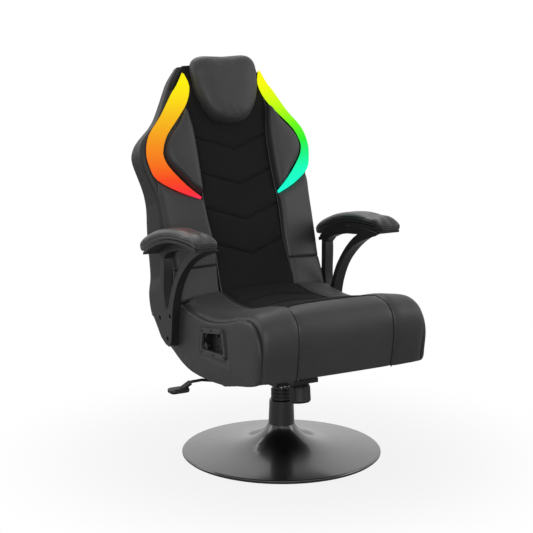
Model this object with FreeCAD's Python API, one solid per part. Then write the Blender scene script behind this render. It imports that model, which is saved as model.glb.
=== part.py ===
import FreeCAD, Part
import math
import os

# Gaming rocker chair on a round pedestal. Millimetres, floor at z = 0.
# The origin is on the floor at the swivel axis, the sitter faces -Y, and
# the sitter's right hand (levers and sound controls) is on the -X side.

V = FreeCAD.Vector
X_AXIS = V(1, 0, 0)
Y_AXIS = V(0, 1, 0)
Z_AXIS = V(0, 0, 1)
ORIGIN = V(0, 0, 0)

RUN = 0.05          # radial play of a shaft that turns or slides in its hole
SEAM = 0.4          # gap between two sewn pieces

# Pedestal
BASE_R = 275.0
RING_OUT_R = BASE_R - 4
RING_IN_R = RING_OUT_R - 17
RING_TOP = 5.0
NECK_R = 36.0
NECK_Z = 84.0
HUB_TOP_R = 33.5
HUB_TOP_Z = 154.0
HUB_FOOT_Z = 16.0
TUBE_R = 22.0
TUBE_BORE_R = 19.0
TUBE_FOOT_Z = 12.0
TUBE_TOP_Z = 176.0
TUBE_FLOOR = 4.0
COLLAR_R = 29.0
COLLAR_TOP_Z = 185.0
BUSH_FOOT_Z = 140.0

# Gas column
PISTON_R = 5.0
PISTON_HEAD_R = 10.9
PISTON_HEAD_Z = 126.0
PISTON_HEAD_H = 8.0
CYL_R = 14.0
CYL_BORE_R = 11.0
CYL_FOOT_Z = 62.0
CYL_CAP = 8.0
CYL_TOP_Z = 228.0
VALVE_R = 4.0
VALVE_TOP_Z = 230.5
HEIGHT_TRAVEL = 50.0

# Tilt mechanism
HOUSE_HALF_W = 38.0
HOUSE_WALL = 3.0
HOUSE_FOOT_Z = 196.0
HOUSE_FRONT_Y = -128.0
HOUSE_NOSE_Z = 225.0
HOUSE_TOP_Z = 237.0
PIVOT_Y = 62.0
PIVOT_Z = 222.0
PIVOT_R = 5.0
HOUSE_TAIL_R = 15.0
SOCKET_R = 21.0
KNOB_Y = -92.0
KNOB_TOP_Z = 222.0
KNOB_H = 56.0
KNOB_R = 29.0
KNOB_LEAN = 9.0
BOLT_R = 4.0
SLEEVE_Y = 20.0
SLEEVE_Z = 214.0
SLEEVE_R = 6.0
ROD_R = 4.0
FULCRUM_X = -30.0
TRUNNION_R = 3.0
LEVER_OUT_X = -262.0
LEVER_TIP_X = -326.0

# Seat
PLATE_Z = 243.0
PLATE_T = 4.0
PLATE_HALF_X = 105.0
PLATE_REAR_Y = 84.0
PLATE_FRONT_Y = -112.0
EAR_T = 4.0
COVER_T = 3.0
BOARD_T = 12.0
BOARD_HALF_X = 190.0
CUSHION_FOOT_Z = 334.0
CUSHION_REAR_Y = 124.0
CORE_FRONT_Y = -286.0
ROLL_FOOT_Z = 298.0
CREST_Y = -250.0
SIDE_FRONT_X = 256.0
SIDE_FRONT_Y = -300.0
SIDE_TURN = 1.3
SIDE_T = 12.0
PANEL_REAR_X = 118.0
PANEL_FRONT_X = 143.0
CHEVRON_PITCH = 101.4
CHEVRON_RISE = 41.0
CHEVRON_W = 7.0
CHEVRON_DEPTH = 6.0

# Backrest, in its own upright frame: x across, y depth (front is minus), z up
BACK_LEAN = 18.3
BACK_FOOT_Y = 134.4
BACK_FOOT_Z = 420.0
PAD_REAR = 34.0
SPACE_FRONT = 22.0
COVER_WALL = 9.0

# Armrests
ARM_IN_X = 248.2
ARM_T = 26.0
PAD_IN_X = 252.0
PAD_OUT_X = 318.0
LIP_T = 7.0

# Sound controls on the seat's right side panel
BEZEL_T = 6.0
TRAY_DEPTH = 22.0


def keep(name, shape):
    shape.exportStep("parts/%s.step" % name)


def cylinder(r, z0, z1, x=0.0, y=0.0):
    return Part.makeCylinder(r, z1 - z0, V(x, y, z0), Z_AXIS)


def box(x0, x1, y0, y1, z0, z1):
    return Part.makeBox(x1 - x0, y1 - y0, z1 - z0, V(x0, y0, z0))


def mirrored(shape):
    return shape.mirror(ORIGIN, X_AXIS)


def polygon(points):
    return Part.makePolygon(list(points) + [points[0]])


def prism(points, way):
    return Part.Face(polygon(points)).extrude(way)


def spline_edge(points, first=None, last=None):
    curve = Part.BSplineCurve()
    if first is None:
        curve.interpolate(Points=points)
    else:
        curve.interpolate(Points=points, InitialTangent=first, FinalTangent=last)
    return curve.toShape()


def spun(points):
    """Ring or solid of revolution about Z from (r, z) points."""
    wire = polygon([V(r, 0, z) for r, z in points])
    return Part.Face(wire).revolve(ORIGIN, Z_AXIS, 360)


def rounded(shape, edges, r):
    """Fillet the chosen edges."""
    return shape.makeFillet(r, edges)


def between(a, b, t):
    return a + (b - a) * t


def at(table, s):
    """Straight-line value from a table of (station, value) pairs."""
    if s <= table[0][0]:
        return table[0][1]
    for (s0, v0), (s1, v1) in zip(table, table[1:]):
        if s <= s1:
            return between(v0, v1, (s - s0) / (s1 - s0))
    return table[-1][1]


# Pedestal

TRUMPET_TOP = [(BASE_R - 5, 10.5), (BASE_R - 40, 14.0), (BASE_R - 85, 18.5), (BASE_R - 135, 25.0),
               (NECK_R + 64, 34.0), (NECK_R + 36, 46.0), (NECK_R + 16, 61.0), (NECK_R + 5, 74.0),
               (NECK_R, NECK_Z)]
TRUMPET_UNDER = [(RING_OUT_R, RING_TOP), (RING_IN_R - 2, 9.5), (BASE_R - 40, 11.2), (BASE_R - 85, 15.7),
                 (BASE_R - 135, 22.1), (NECK_R + 63, 31.0), (NECK_R + 34.5, 43.4), (NECK_R + 14, 58.8),
                 (NECK_R + 2.6, 71.5), (NECK_R, NECK_Z - 9)]


def base_trumpet():
    top = spline_edge([V(r, 0, z) for r, z in TRUMPET_TOP])
    under = spline_edge([V(r, 0, z) for r, z in TRUMPET_UNDER[::-1]])
    neck = Part.makeLine(V(NECK_R, 0, NECK_Z), V(NECK_R, 0, TRUMPET_UNDER[-1][1]))
    lip = [V(RING_OUT_R, 0, RING_TOP), V(BASE_R - 1.5, 0, 3.5), V(BASE_R, 0, 4.5),
           V(BASE_R, 0, 7.5), V(BASE_R - 1.5, 0, 9.5), V(BASE_R - 5, 0, 10.5)]
    rim = [Part.makeLine(a, b) for a, b in zip(lip, lip[1:])]
    wire = Part.Wire([top, neck, under] + rim)
    return Part.Face(wire).revolve(ORIGIN, Z_AXIS, 360)


def base_floor_ring():
    return spun([(RING_IN_R, 1.5), (RING_IN_R + 1.5, 0), (RING_OUT_R - 1.5, 0),
                 (RING_OUT_R, 1.5), (RING_OUT_R, RING_TOP), (RING_IN_R, RING_TOP)])


def base_hub_tube():
    return spun([(TUBE_R, HUB_FOOT_Z), (NECK_R - 4, HUB_FOOT_Z), (NECK_R, HUB_FOOT_Z + 4),
                 (NECK_R, NECK_Z), (HUB_TOP_R, HUB_TOP_Z - 3), (HUB_TOP_R - 3, HUB_TOP_Z),
                 (TUBE_R, HUB_TOP_Z)])


def hub_collar():
    r = COLLAR_R
    rings = []
    z = HUB_TOP_Z
    for i in range(3):
        rings += [(r, z), (r, z + 7), (r - 2.5, z + 8), (r - 2.5, z + 9.5)]
        z += 10.3
    return spun([(TUBE_R, HUB_TOP_Z)] + rings + [(r - 6, COLLAR_TOP_Z), (CYL_R + 2, COLLAR_TOP_Z),
                (CYL_R + 2, TUBE_TOP_Z + 2), (TUBE_R, TUBE_TOP_Z + 2)])


def cylinder_outer_tube():
    floor = TUBE_FOOT_Z + TUBE_FLOOR
    hole = PISTON_R + RUN
    return spun([(hole, TUBE_FOOT_Z), (TUBE_R, TUBE_FOOT_Z), (TUBE_R, TUBE_TOP_Z),
                 (TUBE_BORE_R, TUBE_TOP_Z), (TUBE_BORE_R, floor), (hole, floor)])


def cylinder_guide_bush():
    bore = CYL_R + RUN
    return spun([(bore, BUSH_FOOT_Z), (TUBE_BORE_R, BUSH_FOOT_Z), (TUBE_BORE_R, TUBE_TOP_Z),
                 (CYL_R + 1.8, TUBE_TOP_Z + 1.5), (bore, TUBE_TOP_Z + 1.5)])


def pedestal():
    keep("base_trumpet", base_trumpet())
    keep("base_floor_ring", base_floor_ring())
    keep("base_hub_tube", base_hub_tube())
    keep("hub_collar", hub_collar())
    keep("cylinder_outer_tube", cylinder_outer_tube())
    keep("cylinder_guide_bush", cylinder_guide_bush())


# Gas column

def piston_rod():
    """Rod with its piston head at the top and its swaged clip under the tube's floor."""
    head = PISTON_HEAD_Z
    clip = TUBE_FOOT_Z - RUN
    return spun([(0, 7), (3.5, 7), (9, clip - 2), (9, clip), (PISTON_R, clip), (PISTON_R, head),
                 (PISTON_HEAD_R, head), (PISTON_HEAD_R, head + PISTON_HEAD_H), (0, head + PISTON_HEAD_H)])


def thrust_bearing():
    foot = TUBE_FOOT_Z + TUBE_FLOOR + RUN
    return spun([(PISTON_R, foot), (12, foot), (12.5, foot + 2), (12, foot + 4), (PISTON_R, foot + 4)])


def inner_cylinder():
    cap = CYL_FOOT_Z + CYL_CAP
    roof = CYL_TOP_Z - 12
    hole = PISTON_R + RUN
    return spun([(hole, CYL_FOOT_Z), (CYL_R - 1, CYL_FOOT_Z), (CYL_R, CYL_FOOT_Z + 1),
                 (CYL_R, HOUSE_FOOT_Z), (CYL_R - 1.4, CYL_TOP_Z), (VALVE_R, CYL_TOP_Z),
                 (VALVE_R, roof), (0, roof), (0, roof - 4), (CYL_BORE_R, roof - 4),
                 (CYL_BORE_R, cap), (hole, cap)])


def valve_pin():
    return spun([(0, CYL_TOP_Z - 12), (VALVE_R, CYL_TOP_Z - 12), (VALVE_R, VALVE_TOP_Z - 0.8),
                 (VALVE_R - 0.8, VALVE_TOP_Z), (0, VALVE_TOP_Z)])


def column():
    keep("piston_rod", piston_rod())
    keep("thrust_bearing", thrust_bearing())
    keep("inner_cylinder", inner_cylinder())
    keep("valve_pin", valve_pin())


# Tilt mechanism

def house_outline(inset, roof):
    """Side view of the pressed housing, from the nose round the tail pivot."""
    tail = HOUSE_TAIL_R - inset
    nose_y = HOUSE_FRONT_Y + inset
    front = Part.makeLine(V(0, nose_y, HOUSE_NOSE_Z + inset), V(0, nose_y, roof))
    if roof > PIVOT_Z + tail:
        over = [V(0, nose_y, roof), V(0, PIVOT_Y, roof), V(0, PIVOT_Y, PIVOT_Z + tail)]
    else:
        over = [V(0, nose_y, roof), V(0, PIVOT_Y, PIVOT_Z + tail)]
    turn = Part.Arc(V(0, PIVOT_Y, PIVOT_Z + tail), V(0, PIVOT_Y + tail, PIVOT_Z),
                    V(0, PIVOT_Y, PIVOT_Z - tail)).toShape()
    belly = [V(0, PIVOT_Y, PIVOT_Z - tail), V(0, 32, HOUSE_FOOT_Z + inset),
             V(0, -32, HOUSE_FOOT_Z + inset), V(0, -50, HOUSE_NOSE_Z + inset),
             V(0, nose_y, HOUSE_NOSE_Z + inset)]
    lines = [Part.makeLine(a, b) for a, b in zip(over, over[1:])]
    lines2 = [Part.makeLine(a, b) for a, b in zip(belly, belly[1:])]
    return Part.Face(Part.Wire([front] + lines + [turn] + lines2))


def leaned_axis(shape):
    """Turn a part on the knob's axis so that its foot points forward."""
    shape.rotate(V(0, KNOB_Y, KNOB_TOP_Z), X_AXIS, -KNOB_LEAN)
    return shape


def mechanism_housing():
    w = HOUSE_HALF_W
    outer = house_outline(0, HOUSE_TOP_Z)
    outer.translate(V(-w, 0, 0))
    body = outer.extrude(V(2 * w, 0, 0))
    inner = house_outline(HOUSE_WALL, HOUSE_TOP_Z + 5)
    inner.translate(V(-w + HOUSE_WALL, 0, 0))
    body = body.cut(inner.extrude(V(2 * (w - HOUSE_WALL), 0, 0)))
    pivot = Part.makeCylinder(PIVOT_R, 4 * w, V(-2 * w, PIVOT_Y, PIVOT_Z), X_AXIS)
    body = body.cut(pivot)
    body = body.cut(cylinder(SOCKET_R, HOUSE_FOOT_Z - 5, HOUSE_FOOT_Z + 8))
    body = body.cut(leaned_axis(cylinder(BOLT_R, KNOB_TOP_Z - 20, KNOB_TOP_Z + 20, 0, KNOB_Y)))
    slot = Part.makeCylinder(SLEEVE_R + 2, 2 * w, V(-2 * w, SLEEVE_Y, SLEEVE_Z), X_AXIS)
    body = body.cut(slot.common(box(-w - 1, -w + HOUSE_WALL + 1, 0, 40, 190, 240)))
    for side in (-1, 1):
        y = SLEEVE_Y + side * (SLEEVE_R + 4)
        lug = box(FULCRUM_X - 5, FULCRUM_X + 5, y - 1.5, y + 1.5, HOUSE_FOOT_Z + HOUSE_WALL, SLEEVE_Z + 5)
        body = body.fuse(lug)
    trunnion = Part.makeCylinder(TRUNNION_R + RUN, 40, V(FULCRUM_X, SLEEVE_Y - 20, SLEEVE_Z), Y_AXIS)
    return body.cut(trunnion)


def taper_socket():
    top = HOUSE_FOOT_Z + 24
    t = 1.4 * (top - HOUSE_FOOT_Z) / (CYL_TOP_Z - HOUSE_FOOT_Z)
    body = spun([(CYL_R, HOUSE_FOOT_Z), (SOCKET_R, HOUSE_FOOT_Z), (SOCKET_R, HOUSE_FOOT_Z + 8),
                 (18, HOUSE_FOOT_Z + 9), (17, top), (CYL_R - t, top)])
    return body


def tilt_pivot_pin():
    half = HOUSE_HALF_W + EAR_T + 4
    pin = Part.makeCylinder(PIVOT_R, 2 * half, V(-half, PIVOT_Y, PIVOT_Z), X_AXIS)
    head = Part.makeCylinder(PIVOT_R + 3, 3, V(half, PIVOT_Y, PIVOT_Z), X_AXIS)
    clip = Part.makeCylinder(PIVOT_R + 2, 2, V(-half - 2, PIVOT_Y, PIVOT_Z), X_AXIS)
    return pin.fuse([head, clip]).removeSplitter()


def tension_bolt():
    head = Part.makeCylinder(9, 4, V(0, KNOB_Y, KNOB_TOP_Z + 8), Z_AXIS)
    shank = cylinder(BOLT_R, KNOB_TOP_Z - 48, KNOB_TOP_Z + 8, 0, KNOB_Y)
    return leaned_axis(head.fuse(shank).removeSplitter())


def tension_spring():
    turns = Part.makeHelix(5.2, 31, 12.5)
    ring = Part.Wire(Part.makeCircle(1.9, V(12.5, 0, 0), Y_AXIS))
    coil = Part.Wire(turns).makePipeShell([ring], True, True)
    coil.translate(V(0, KNOB_Y, KNOB_TOP_Z - 36.5))
    return leaned_axis(coil)


def tension_knob():
    grip = spun([(BOLT_R + RUN, KNOB_TOP_Z - KNOB_H), (KNOB_R - 6, KNOB_TOP_Z - KNOB_H),
                 (KNOB_R - 1, KNOB_TOP_Z - KNOB_H + 5), (KNOB_R, KNOB_TOP_Z - 14),
                 (KNOB_R - 4, KNOB_TOP_Z - 4), (KNOB_R - 7, KNOB_TOP_Z - 2),
                 (16, KNOB_TOP_Z - 2), (16, KNOB_TOP_Z - 40), (BOLT_R + RUN, KNOB_TOP_Z - 40)])
    grip.translate(V(0, KNOB_Y, 0))
    cuts = []
    for i in range(16):
        a = 2 * math.pi * i / 16
        x = (KNOB_R + 1.6) * math.cos(a)
        y = KNOB_Y + (KNOB_R + 1.6) * math.sin(a)
        cuts.append(cylinder(3.2, KNOB_TOP_Z - KNOB_H - 1, KNOB_TOP_Z - 12, x, y))
    return leaned_axis(grip.cut(cuts))


def lift_actuator():
    """Sleeve on two trunnions, with a tongue that reaches over the valve."""
    x0 = -HOUSE_HALF_W - 14
    sleeve = Part.makeCylinder(SLEEVE_R, 35, V(x0, SLEEVE_Y, SLEEVE_Z), X_AXIS)
    pins = Part.makeCylinder(TRUNNION_R, 2 * SLEEVE_R + 11,
                             V(FULCRUM_X, SLEEVE_Y - SLEEVE_R - 5.5, SLEEVE_Z), Y_AXIS)
    post = box(-19, -13, SLEEVE_Y - 5, SLEEVE_Y + 5, SLEEVE_Z, VALVE_TOP_Z + 4)
    tongue = box(-19, 6, -5, SLEEVE_Y + 5, VALVE_TOP_Z + 2, VALVE_TOP_Z + 4.5)
    body = sleeve.fuse([pins, post, tongue])
    bore = Part.makeCylinder(ROD_R + RUN, 60, V(x0 - 1, SLEEVE_Y, SLEEVE_Z), X_AXIS)
    return body.cut(bore).removeSplitter()


ROD_PATH = [(-24, SLEEVE_Y, SLEEVE_Z), (-118, SLEEVE_Y, SLEEVE_Z), (-160, 24, 218),
            (-232, 30, 231), (LEVER_OUT_X, 34, 229), (-286, 38, 214)]


def rod_along(points, r):
    """Bent round bar: straight runs joined by balls at the bends."""
    solids = []
    for a, b in zip(points, points[1:]):
        run = b.sub(a)
        solids.append(Part.makeCylinder(r, run.Length, a, run))
    for p in points[1:-1]:
        solids.append(Part.makeSphere(r, p))
    return solids[0].fuse(solids[1:]).removeSplitter()


def lever_rod():
    return rod_along([V(*p) for p in ROD_PATH], ROD_R)


def lever_paddle():
    """Flat moulded handle pushed over the rod's outer end."""
    start = V(LEVER_OUT_X - 2, 34.3, 227.8)
    blade = box(LEVER_TIP_X, LEVER_OUT_X - 8, 20, 56, 204, 216)
    blade = rounded(blade, [e for e in blade.Edges if abs(e.Vertexes[0].Z - e.Vertexes[1].Z) > 5], 11)
    flat = [e for e in blade.Edges if abs(e.BoundBox.ZLength) < 0.01]
    blade = rounded(blade, flat, 4)
    end = V(-292, 39, 210.2)
    neck = Part.makeCylinder(7.5, start.sub(end).Length, end, start.sub(end))
    body = blade.fuse(neck).removeSplitter()
    return body.cut(rod_along([V(*p) for p in ROD_PATH], ROD_R))


def mechanism():
    keep("mechanism_housing", mechanism_housing())
    keep("taper_socket", taper_socket())
    keep("tilt_pivot_pin", tilt_pivot_pin())
    keep("tension_bolt", tension_bolt())
    keep("tension_spring", tension_spring())
    keep("tension_knob", tension_knob())
    keep("lift_actuator", lift_actuator())
    keep("lever_rod", lever_rod())
    keep("lever_paddle", lever_paddle())


# Seat

# Side view of the cushions: y, z, then how far a point moves back and down
# for each millimetre that the section is drawn in.
SEAT_TOP = [(CUSHION_REAR_Y, 451, 0, 1), (60, 440, 0, 1), (0, 436, 0, 1), (-60, 439, 0, 1),
            (-120, 450, 0, 1), (-180, 466, 0, 1), (CREST_Y, 480, 0, 1)]
SEAT_NOSE = [(CREST_Y, 480, 0, 1), (-296, 470, 0.3, 0.8), (-322, 445, 0.45, 0.5),
             (-331, 410, 0.5, 0.2), (-329, 360, 0.5, 0), (-319, ROLL_FOOT_Z, 0.5, 0)]
SEAT_BELLY = [(330, 358), (304, 345), (284, 335), (240, 307), (185, 285), (130, 262), (PLATE_REAR_Y, 247),
              (PLATE_FRONT_Y, 247), (-203, 270), (-284, 291)]


def seam_x(y):
    """Half width of the centre panel, at the seam to the bolster."""
    t = (y - CUSHION_REAR_Y) / (SEAT_NOSE[-1][0] - CUSHION_REAR_Y)
    return between(PANEL_REAR_X, PANEL_FRONT_X, t)


def outer_x(y):
    """Half width of the seat over its side panels."""
    return SIDE_FRONT_X - (y - SIDE_FRONT_Y) * math.tan(math.radians(SIDE_TURN))


def rib_x(t):
    """Plan line at share t of the way from the centre seam to the side panel."""
    def line(y):
        return between(seam_x(y) + SEAM, outer_x(y) - SIDE_T - SEAM, t)
    return line


def panel_x(t):
    """Plan line at share t of the centre panel's half width."""
    def line(y):
        return t * (seam_x(y) - SEAM)
    return line


def cushion_section(line, inset, pieces, inner):
    """Closed side view on a plan line, each piece drawn in by inset."""
    edges = []
    for piece in pieces:
        pts = []
        for y, z, back, down in piece:
            yy = y + back * inset
            pts.append(V(line(yy), yy, z - down * inset))
        edges.append(spline_edge(pts))
    end = edges[-1].Vertexes[-1].Point
    start = edges[0].Vertexes[0].Point
    pts = [end] + [V(line(y), y, z) for y, z in inner] + [start]
    for a, b in zip(pts, pts[1:]):
        edges.append(Part.makeLine(a, b))
    return Part.Wire(edges)


def cushion(lines, insets, pieces, inner):
    wires = [cushion_section(line, e, pieces, inner) for line, e in zip(lines, insets)]
    return Part.makeLoft(wires, True, False)


def back_space():
    """Room of the backrest over the rear of the seat."""
    return leaned(box(-300, 300, -SPACE_FRONT, 260, -0.5, 120))


def chevron(tip, half_w, rise, front, width, depth):
    """Groove cutter in the backrest's frame: a V across a panel, tip down."""
    w = half_w + 6
    up = rise * w / half_w
    low = [(-w, tip + up), (0, tip), (w, tip + up)]
    high = [(x, z + width) for x, z in low[::-1]]
    cutter = prism([V(x, front - 30, z) for x, z in low + high], V(0, 30 + depth, 0))
    return cutter


def seat_center_panel():
    lines = [panel_x(t) for t in (-1, -0.9, -0.5, 0, 0.5, 0.9, 1)]
    insets = (8, 3, 0.8, 0, 0.8, 3, 8)
    inner = [(CREST_Y, CUSHION_FOOT_Z), (CUSHION_REAR_Y, CUSHION_FOOT_Z)]
    body = cushion(lines, insets, [SEAT_TOP], inner)
    for tip_y in (52, -42, -136):
        z = at([(y, z) for y, z, _, _ in SEAT_TOP[::-1]], tip_y)
        w = seam_x(tip_y) + 6
        up = CHEVRON_RISE * w / PANEL_REAR_X
        low = [(-w, tip_y - up), (0, tip_y), (w, tip_y - up)]
        high = [(x, y - CHEVRON_W) for x, y in low[::-1]]
        flat = [V(x, y, z + 40) for x, y in low + high]
        slope = at([(y, z) for y, z, _, _ in SEAT_TOP[::-1]], tip_y - 30) - z
        cutter = prism(flat, V(0, 0, -40 - CHEVRON_DEPTH))
        cutter.rotate(V(0, tip_y, z), X_AXIS, -math.degrees(math.atan2(slope, 30)))
        body = body.cut(cutter)
    return body.cut(back_space())


def seat_front_roll():
    lines = [panel_x(t) for t in (-1, -0.9, -0.5, 0, 0.5, 0.9, 1)]
    insets = (8, 3, 0.8, 0, 0.8, 3, 8)
    nose = [(CREST_Y - SEAM, 480, 0, 1)] + SEAT_NOSE[1:]
    inner = [(CORE_FRONT_Y, ROLL_FOOT_Z), (CORE_FRONT_Y, CUSHION_FOOT_Z),
             (CREST_Y - SEAM, CUSHION_FOOT_Z)]
    return cushion(lines, insets, [nose], inner)


def seat_bolster():
    lines = [rib_x(t) for t in (0, 0.1, 0.5, 0.8, 0.93, 1)]
    insets = (8, 3.5, 7, 12, 19, 30)
    inner = [(CORE_FRONT_Y, ROLL_FOOT_Z), (CORE_FRONT_Y, CUSHION_FOOT_Z),
             (CUSHION_REAR_Y, CUSHION_FOOT_Z)]
    body = cushion(lines, insets, [SEAT_TOP, SEAT_NOSE], inner)
    return body.cut(back_space())


def trapezoid(inset):
    """Plan outline inside the two side panels."""
    pts = []
    for y in (-340, 340):
        pts.append((outer_x(y) - SIDE_T - inset, y))
    rim = [(-x, y) for x, y in pts] + pts[::-1]
    return prism([V(x, y, 200) for x, y in rim], V(0, 0, 320))


SIDE_RIM = [(126, 418), (60, 410), (0, 406), (-60, 409), (-120, 420), (-180, 436), (-244, 449), (-268, 446),
            (-291, 433), (-306, 413), (-314, 390), (-315, 360), (-311, 330), (-308, 308), (-303, 299), (-292, 293),
            (-203, 271), (-121, 254), (-60, 248), (-15, 246), (56, 247), (130, 262), (185, 284),
            (240, 306), (284, 336), (311, 352), (326, 361), (324, 369), (306, 374), (190, 401)]


def seat_side_panel():
    """Flat padded panel, built facing +X at x = 0 and turned to the seat's taper."""
    wires = []
    for x, inset in ((0, 0), (SIDE_T - 5, 0), (SIDE_T - 1.5, 1.5), (SIDE_T, 5)):
        curve = Part.BSplineCurve()
        curve.interpolate(Points=[V(x, y, z) for y, z in shrunk(SIDE_RIM, inset)], PeriodicFlag=True)
        wires.append(Part.Wire(curve.toShape()))
    slab = Part.Face(wires[0]).extrude(V(SIDE_T - 5, 0, 0))
    dome = Part.makeLoft(wires[1:], True, False)
    body = slab.fuse(dome).removeSplitter()
    return on_side(body, -SIDE_T).cut(back_space()).cut(arm_bolt_holes())


def on_side(shape, x):
    """Place a shape built on the plane x = 0 on the seat's tapered +X side."""
    shape.translate(V(SIDE_FRONT_X + x, 0, 0))
    shape.rotate(V(SIDE_FRONT_X, SIDE_FRONT_Y, 0), Z_AXIS, SIDE_TURN)
    return shape


def belly(rise):
    return [V(-300, y, z + rise) for y, z in SEAT_BELLY]


def seat_core():
    low = belly(COVER_T + 0.1)
    top = [V(-300, CORE_FRONT_Y + SEAM, ROLL_FOOT_Z - 0.5), V(-300, CORE_FRONT_Y + SEAM, CUSHION_FOOT_Z),
           V(-300, CUSHION_REAR_Y + SEAM, CUSHION_FOOT_Z), V(-300, CUSHION_REAR_Y + SEAM, 450),
           V(-300, 300, 450)]
    body = prism(low + top, V(600, 0, 0)).common(trapezoid(0.2)).cut(back_space())
    body = body.cut(seat_board()).cut(bolt_holes())
    for side in (-1, 1):
        body = body.cut(leaned(cylinder(FRAME_R, FRAME_FOOT - 1, 5, side * FRAME_X, FRAME_Y)))
    return body


def seat_board():
    z = PLATE_Z + PLATE_T + COVER_T
    body = box(-BOARD_HALF_X, BOARD_HALF_X, PLATE_FRONT_Y + 4, PLATE_REAR_Y - 4, z, z + BOARD_T)
    return body.cut(bolt_holes())


BOLT_SPOTS = [(-80, -92), (80, -92), (-80, 64), (80, 64)]


def bolt_holes():
    return Part.makeCompound([cylinder(3, 200, 280, x, y) for x, y in BOLT_SPOTS])


def seat_bottom_cover():
    strip = prism(belly(0) + belly(COVER_T)[::-1], V(600, 0, 0)).common(trapezoid(0.2))
    return strip.cut(bolt_holes()).cut(back_space())


def seat_plate():
    top = box(-PLATE_HALF_X, PLATE_HALF_X, PLATE_FRONT_Y, PLATE_REAR_Y, PLATE_Z, PLATE_Z + PLATE_T)
    corners = [e for e in top.Edges if e.BoundBox.ZLength > 3]
    top = rounded(top, corners, 14)
    ears = []
    for side in (-1, 1):
        inner = side * (HOUSE_HALF_W + 0.5)
        outer = side * (HOUSE_HALF_W + 0.5 + EAR_T)
        x = min(inner, outer)
        web = [(PIVOT_Y - 20, PLATE_Z), (PIVOT_Y - 13, PIVOT_Z), (PIVOT_Y + 13, PIVOT_Z), (PIVOT_Y + 20, PLATE_Z)]
        ears.append(prism([V(x, y, z) for y, z in web], V(EAR_T, 0, 0)))
        ears.append(Part.makeCylinder(13, EAR_T, V(x, PIVOT_Y, PIVOT_Z), X_AXIS))
    body = top.fuse(ears).removeSplitter()
    bore = Part.makeCylinder(PIVOT_R + RUN, 4 * HOUSE_HALF_W, V(-2 * HOUSE_HALF_W, PIVOT_Y, PIVOT_Z), X_AXIS)
    return body.cut(bore).cut(bolt_holes())


def seat_plate_bolts():
    z = PLATE_Z
    bolts = []
    for x, y in BOLT_SPOTS:
        head = cylinder(5.5, z - 4, z, x, y)
        bolts.append(head.fuse(cylinder(3, z - 1, z + PLATE_T + COVER_T + BOARD_T, x, y)).removeSplitter())
    return Part.makeCompound(bolts)


def seat():
    bolster = seat_bolster()
    side = seat_side_panel()
    keep("seat_center_panel", seat_center_panel())
    keep("seat_front_roll", seat_front_roll())
    keep("seat_bolster_left", bolster)
    keep("seat_bolster_right", mirrored(bolster).cut(control_pocket()))
    keep("seat_side_panel_left", side)
    keep("seat_side_panel_right", mirrored(side).cut(control_pocket()).cut(on_right_side(bezel_screws())))
    keep("seat_core", seat_core().cut(control_pocket()).cut(arm_bolt_holes()))
    keep("seat_board", seat_board())
    keep("seat_bottom_cover", seat_bottom_cover())
    keep("seat_plate", seat_plate())
    keep("seat_plate_bolts", seat_plate_bolts())


# Backrest

FRAME_X = 95.0
FRAME_Y = 74.0
FRAME_R = 9.0
FRAME_FOOT = -70.0
FRAME_TOP = 490.0
BACK_TOP = 672.0
STRAP_HALF_W = 78.0
STRAP_T = 4.0
HALF_WIDTH = [(0, 241), (22, 242), (60, 240), (96, 234), (150, 236), (220, 238), (286, 239), (322, 245),
              (345, 252), (363, 258), (399, 267), (425, 270), (453, 265), (472, 254), (491, 235),
              (509, 216), (528, 201), (554, 186), (584, 171), (608, 160), (638, 143), (BACK_TOP, 118)]
REAR_DEPTH = [(0, 205), (60, 203), (142, 181), (190, 172), (230, 163), (296, 140), (362, 123), (430, 124),
              (470, 112), (514, 98), (580, 92), (640, 84), (BACK_TOP, 70)]
REAR_CORNER_R = 18.0
TOP_CHEVRON = 419.2
WING_SLOPE = 0.25
PANEL_HALF = [(0, 116), (35, 118), (147, 112), (252, 119), (353, 116), (460, 117), (545, 130), (672, 118)]
PANEL_FRONT = [(0, -20), (34, -20), (100, -13), (180, -6), (290, 0), (672, 0)]
# The light band's inner edge (x, y, z), then its outer edge, from its top tip down
RIBBON = [(121, -3, 641, 126, -1, 645), (112, -6, 604, 146, 6, 611), (127, -7, 560, 166, 10, 586),
          (160, -8, 520, 205, 16, 528), (205, -8, 470, 247, 20, 477), (223, -6, 430, 262, 22, 430),
          (223, -4, 405, 259, 22, 390), (208, -2, 376, 243, 20, 350), (165, 0, 326, 185, 10, 310),
          (124, 1, 290, 126, 4, 284)]
RIBBON_STEPS = 3


def leaned(shape):
    """Move a shape from the backrest's upright frame to its place."""
    shape.rotate(ORIGIN, X_AXIS, -BACK_LEAN)
    shape.translate(V(0, BACK_FOOT_Y, BACK_FOOT_Z))
    return shape


def loop_wire(points, y):
    """Smooth closed outline through (x, z) points at depth y."""
    curve = Part.BSplineCurve()
    curve.interpolate(Points=[V(x, y, z) for x, z in points], PeriodicFlag=True)
    return Part.Wire(curve.toShape())


def shrunk(points, inset):
    """Move every point of an outline inward by about inset."""
    n = len(points)
    area = 0
    for i in range(n):
        x0, z0 = points[i]
        x1, z1 = points[(i + 1) % n]
        area += x0 * z1 - x1 * z0
    turn = 1 if area > 0 else -1
    out = []
    for i in range(n):
        x0, z0 = points[i - 1]
        x1, z1 = points[(i + 1) % n]
        size = math.hypot(x1 - x0, z1 - z0)
        nx = -(z1 - z0) / size * turn
        nz = (x1 - x0) / size * turn
        out.append((points[i][0] + nx * inset, points[i][1] + nz * inset))
    return out


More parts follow.
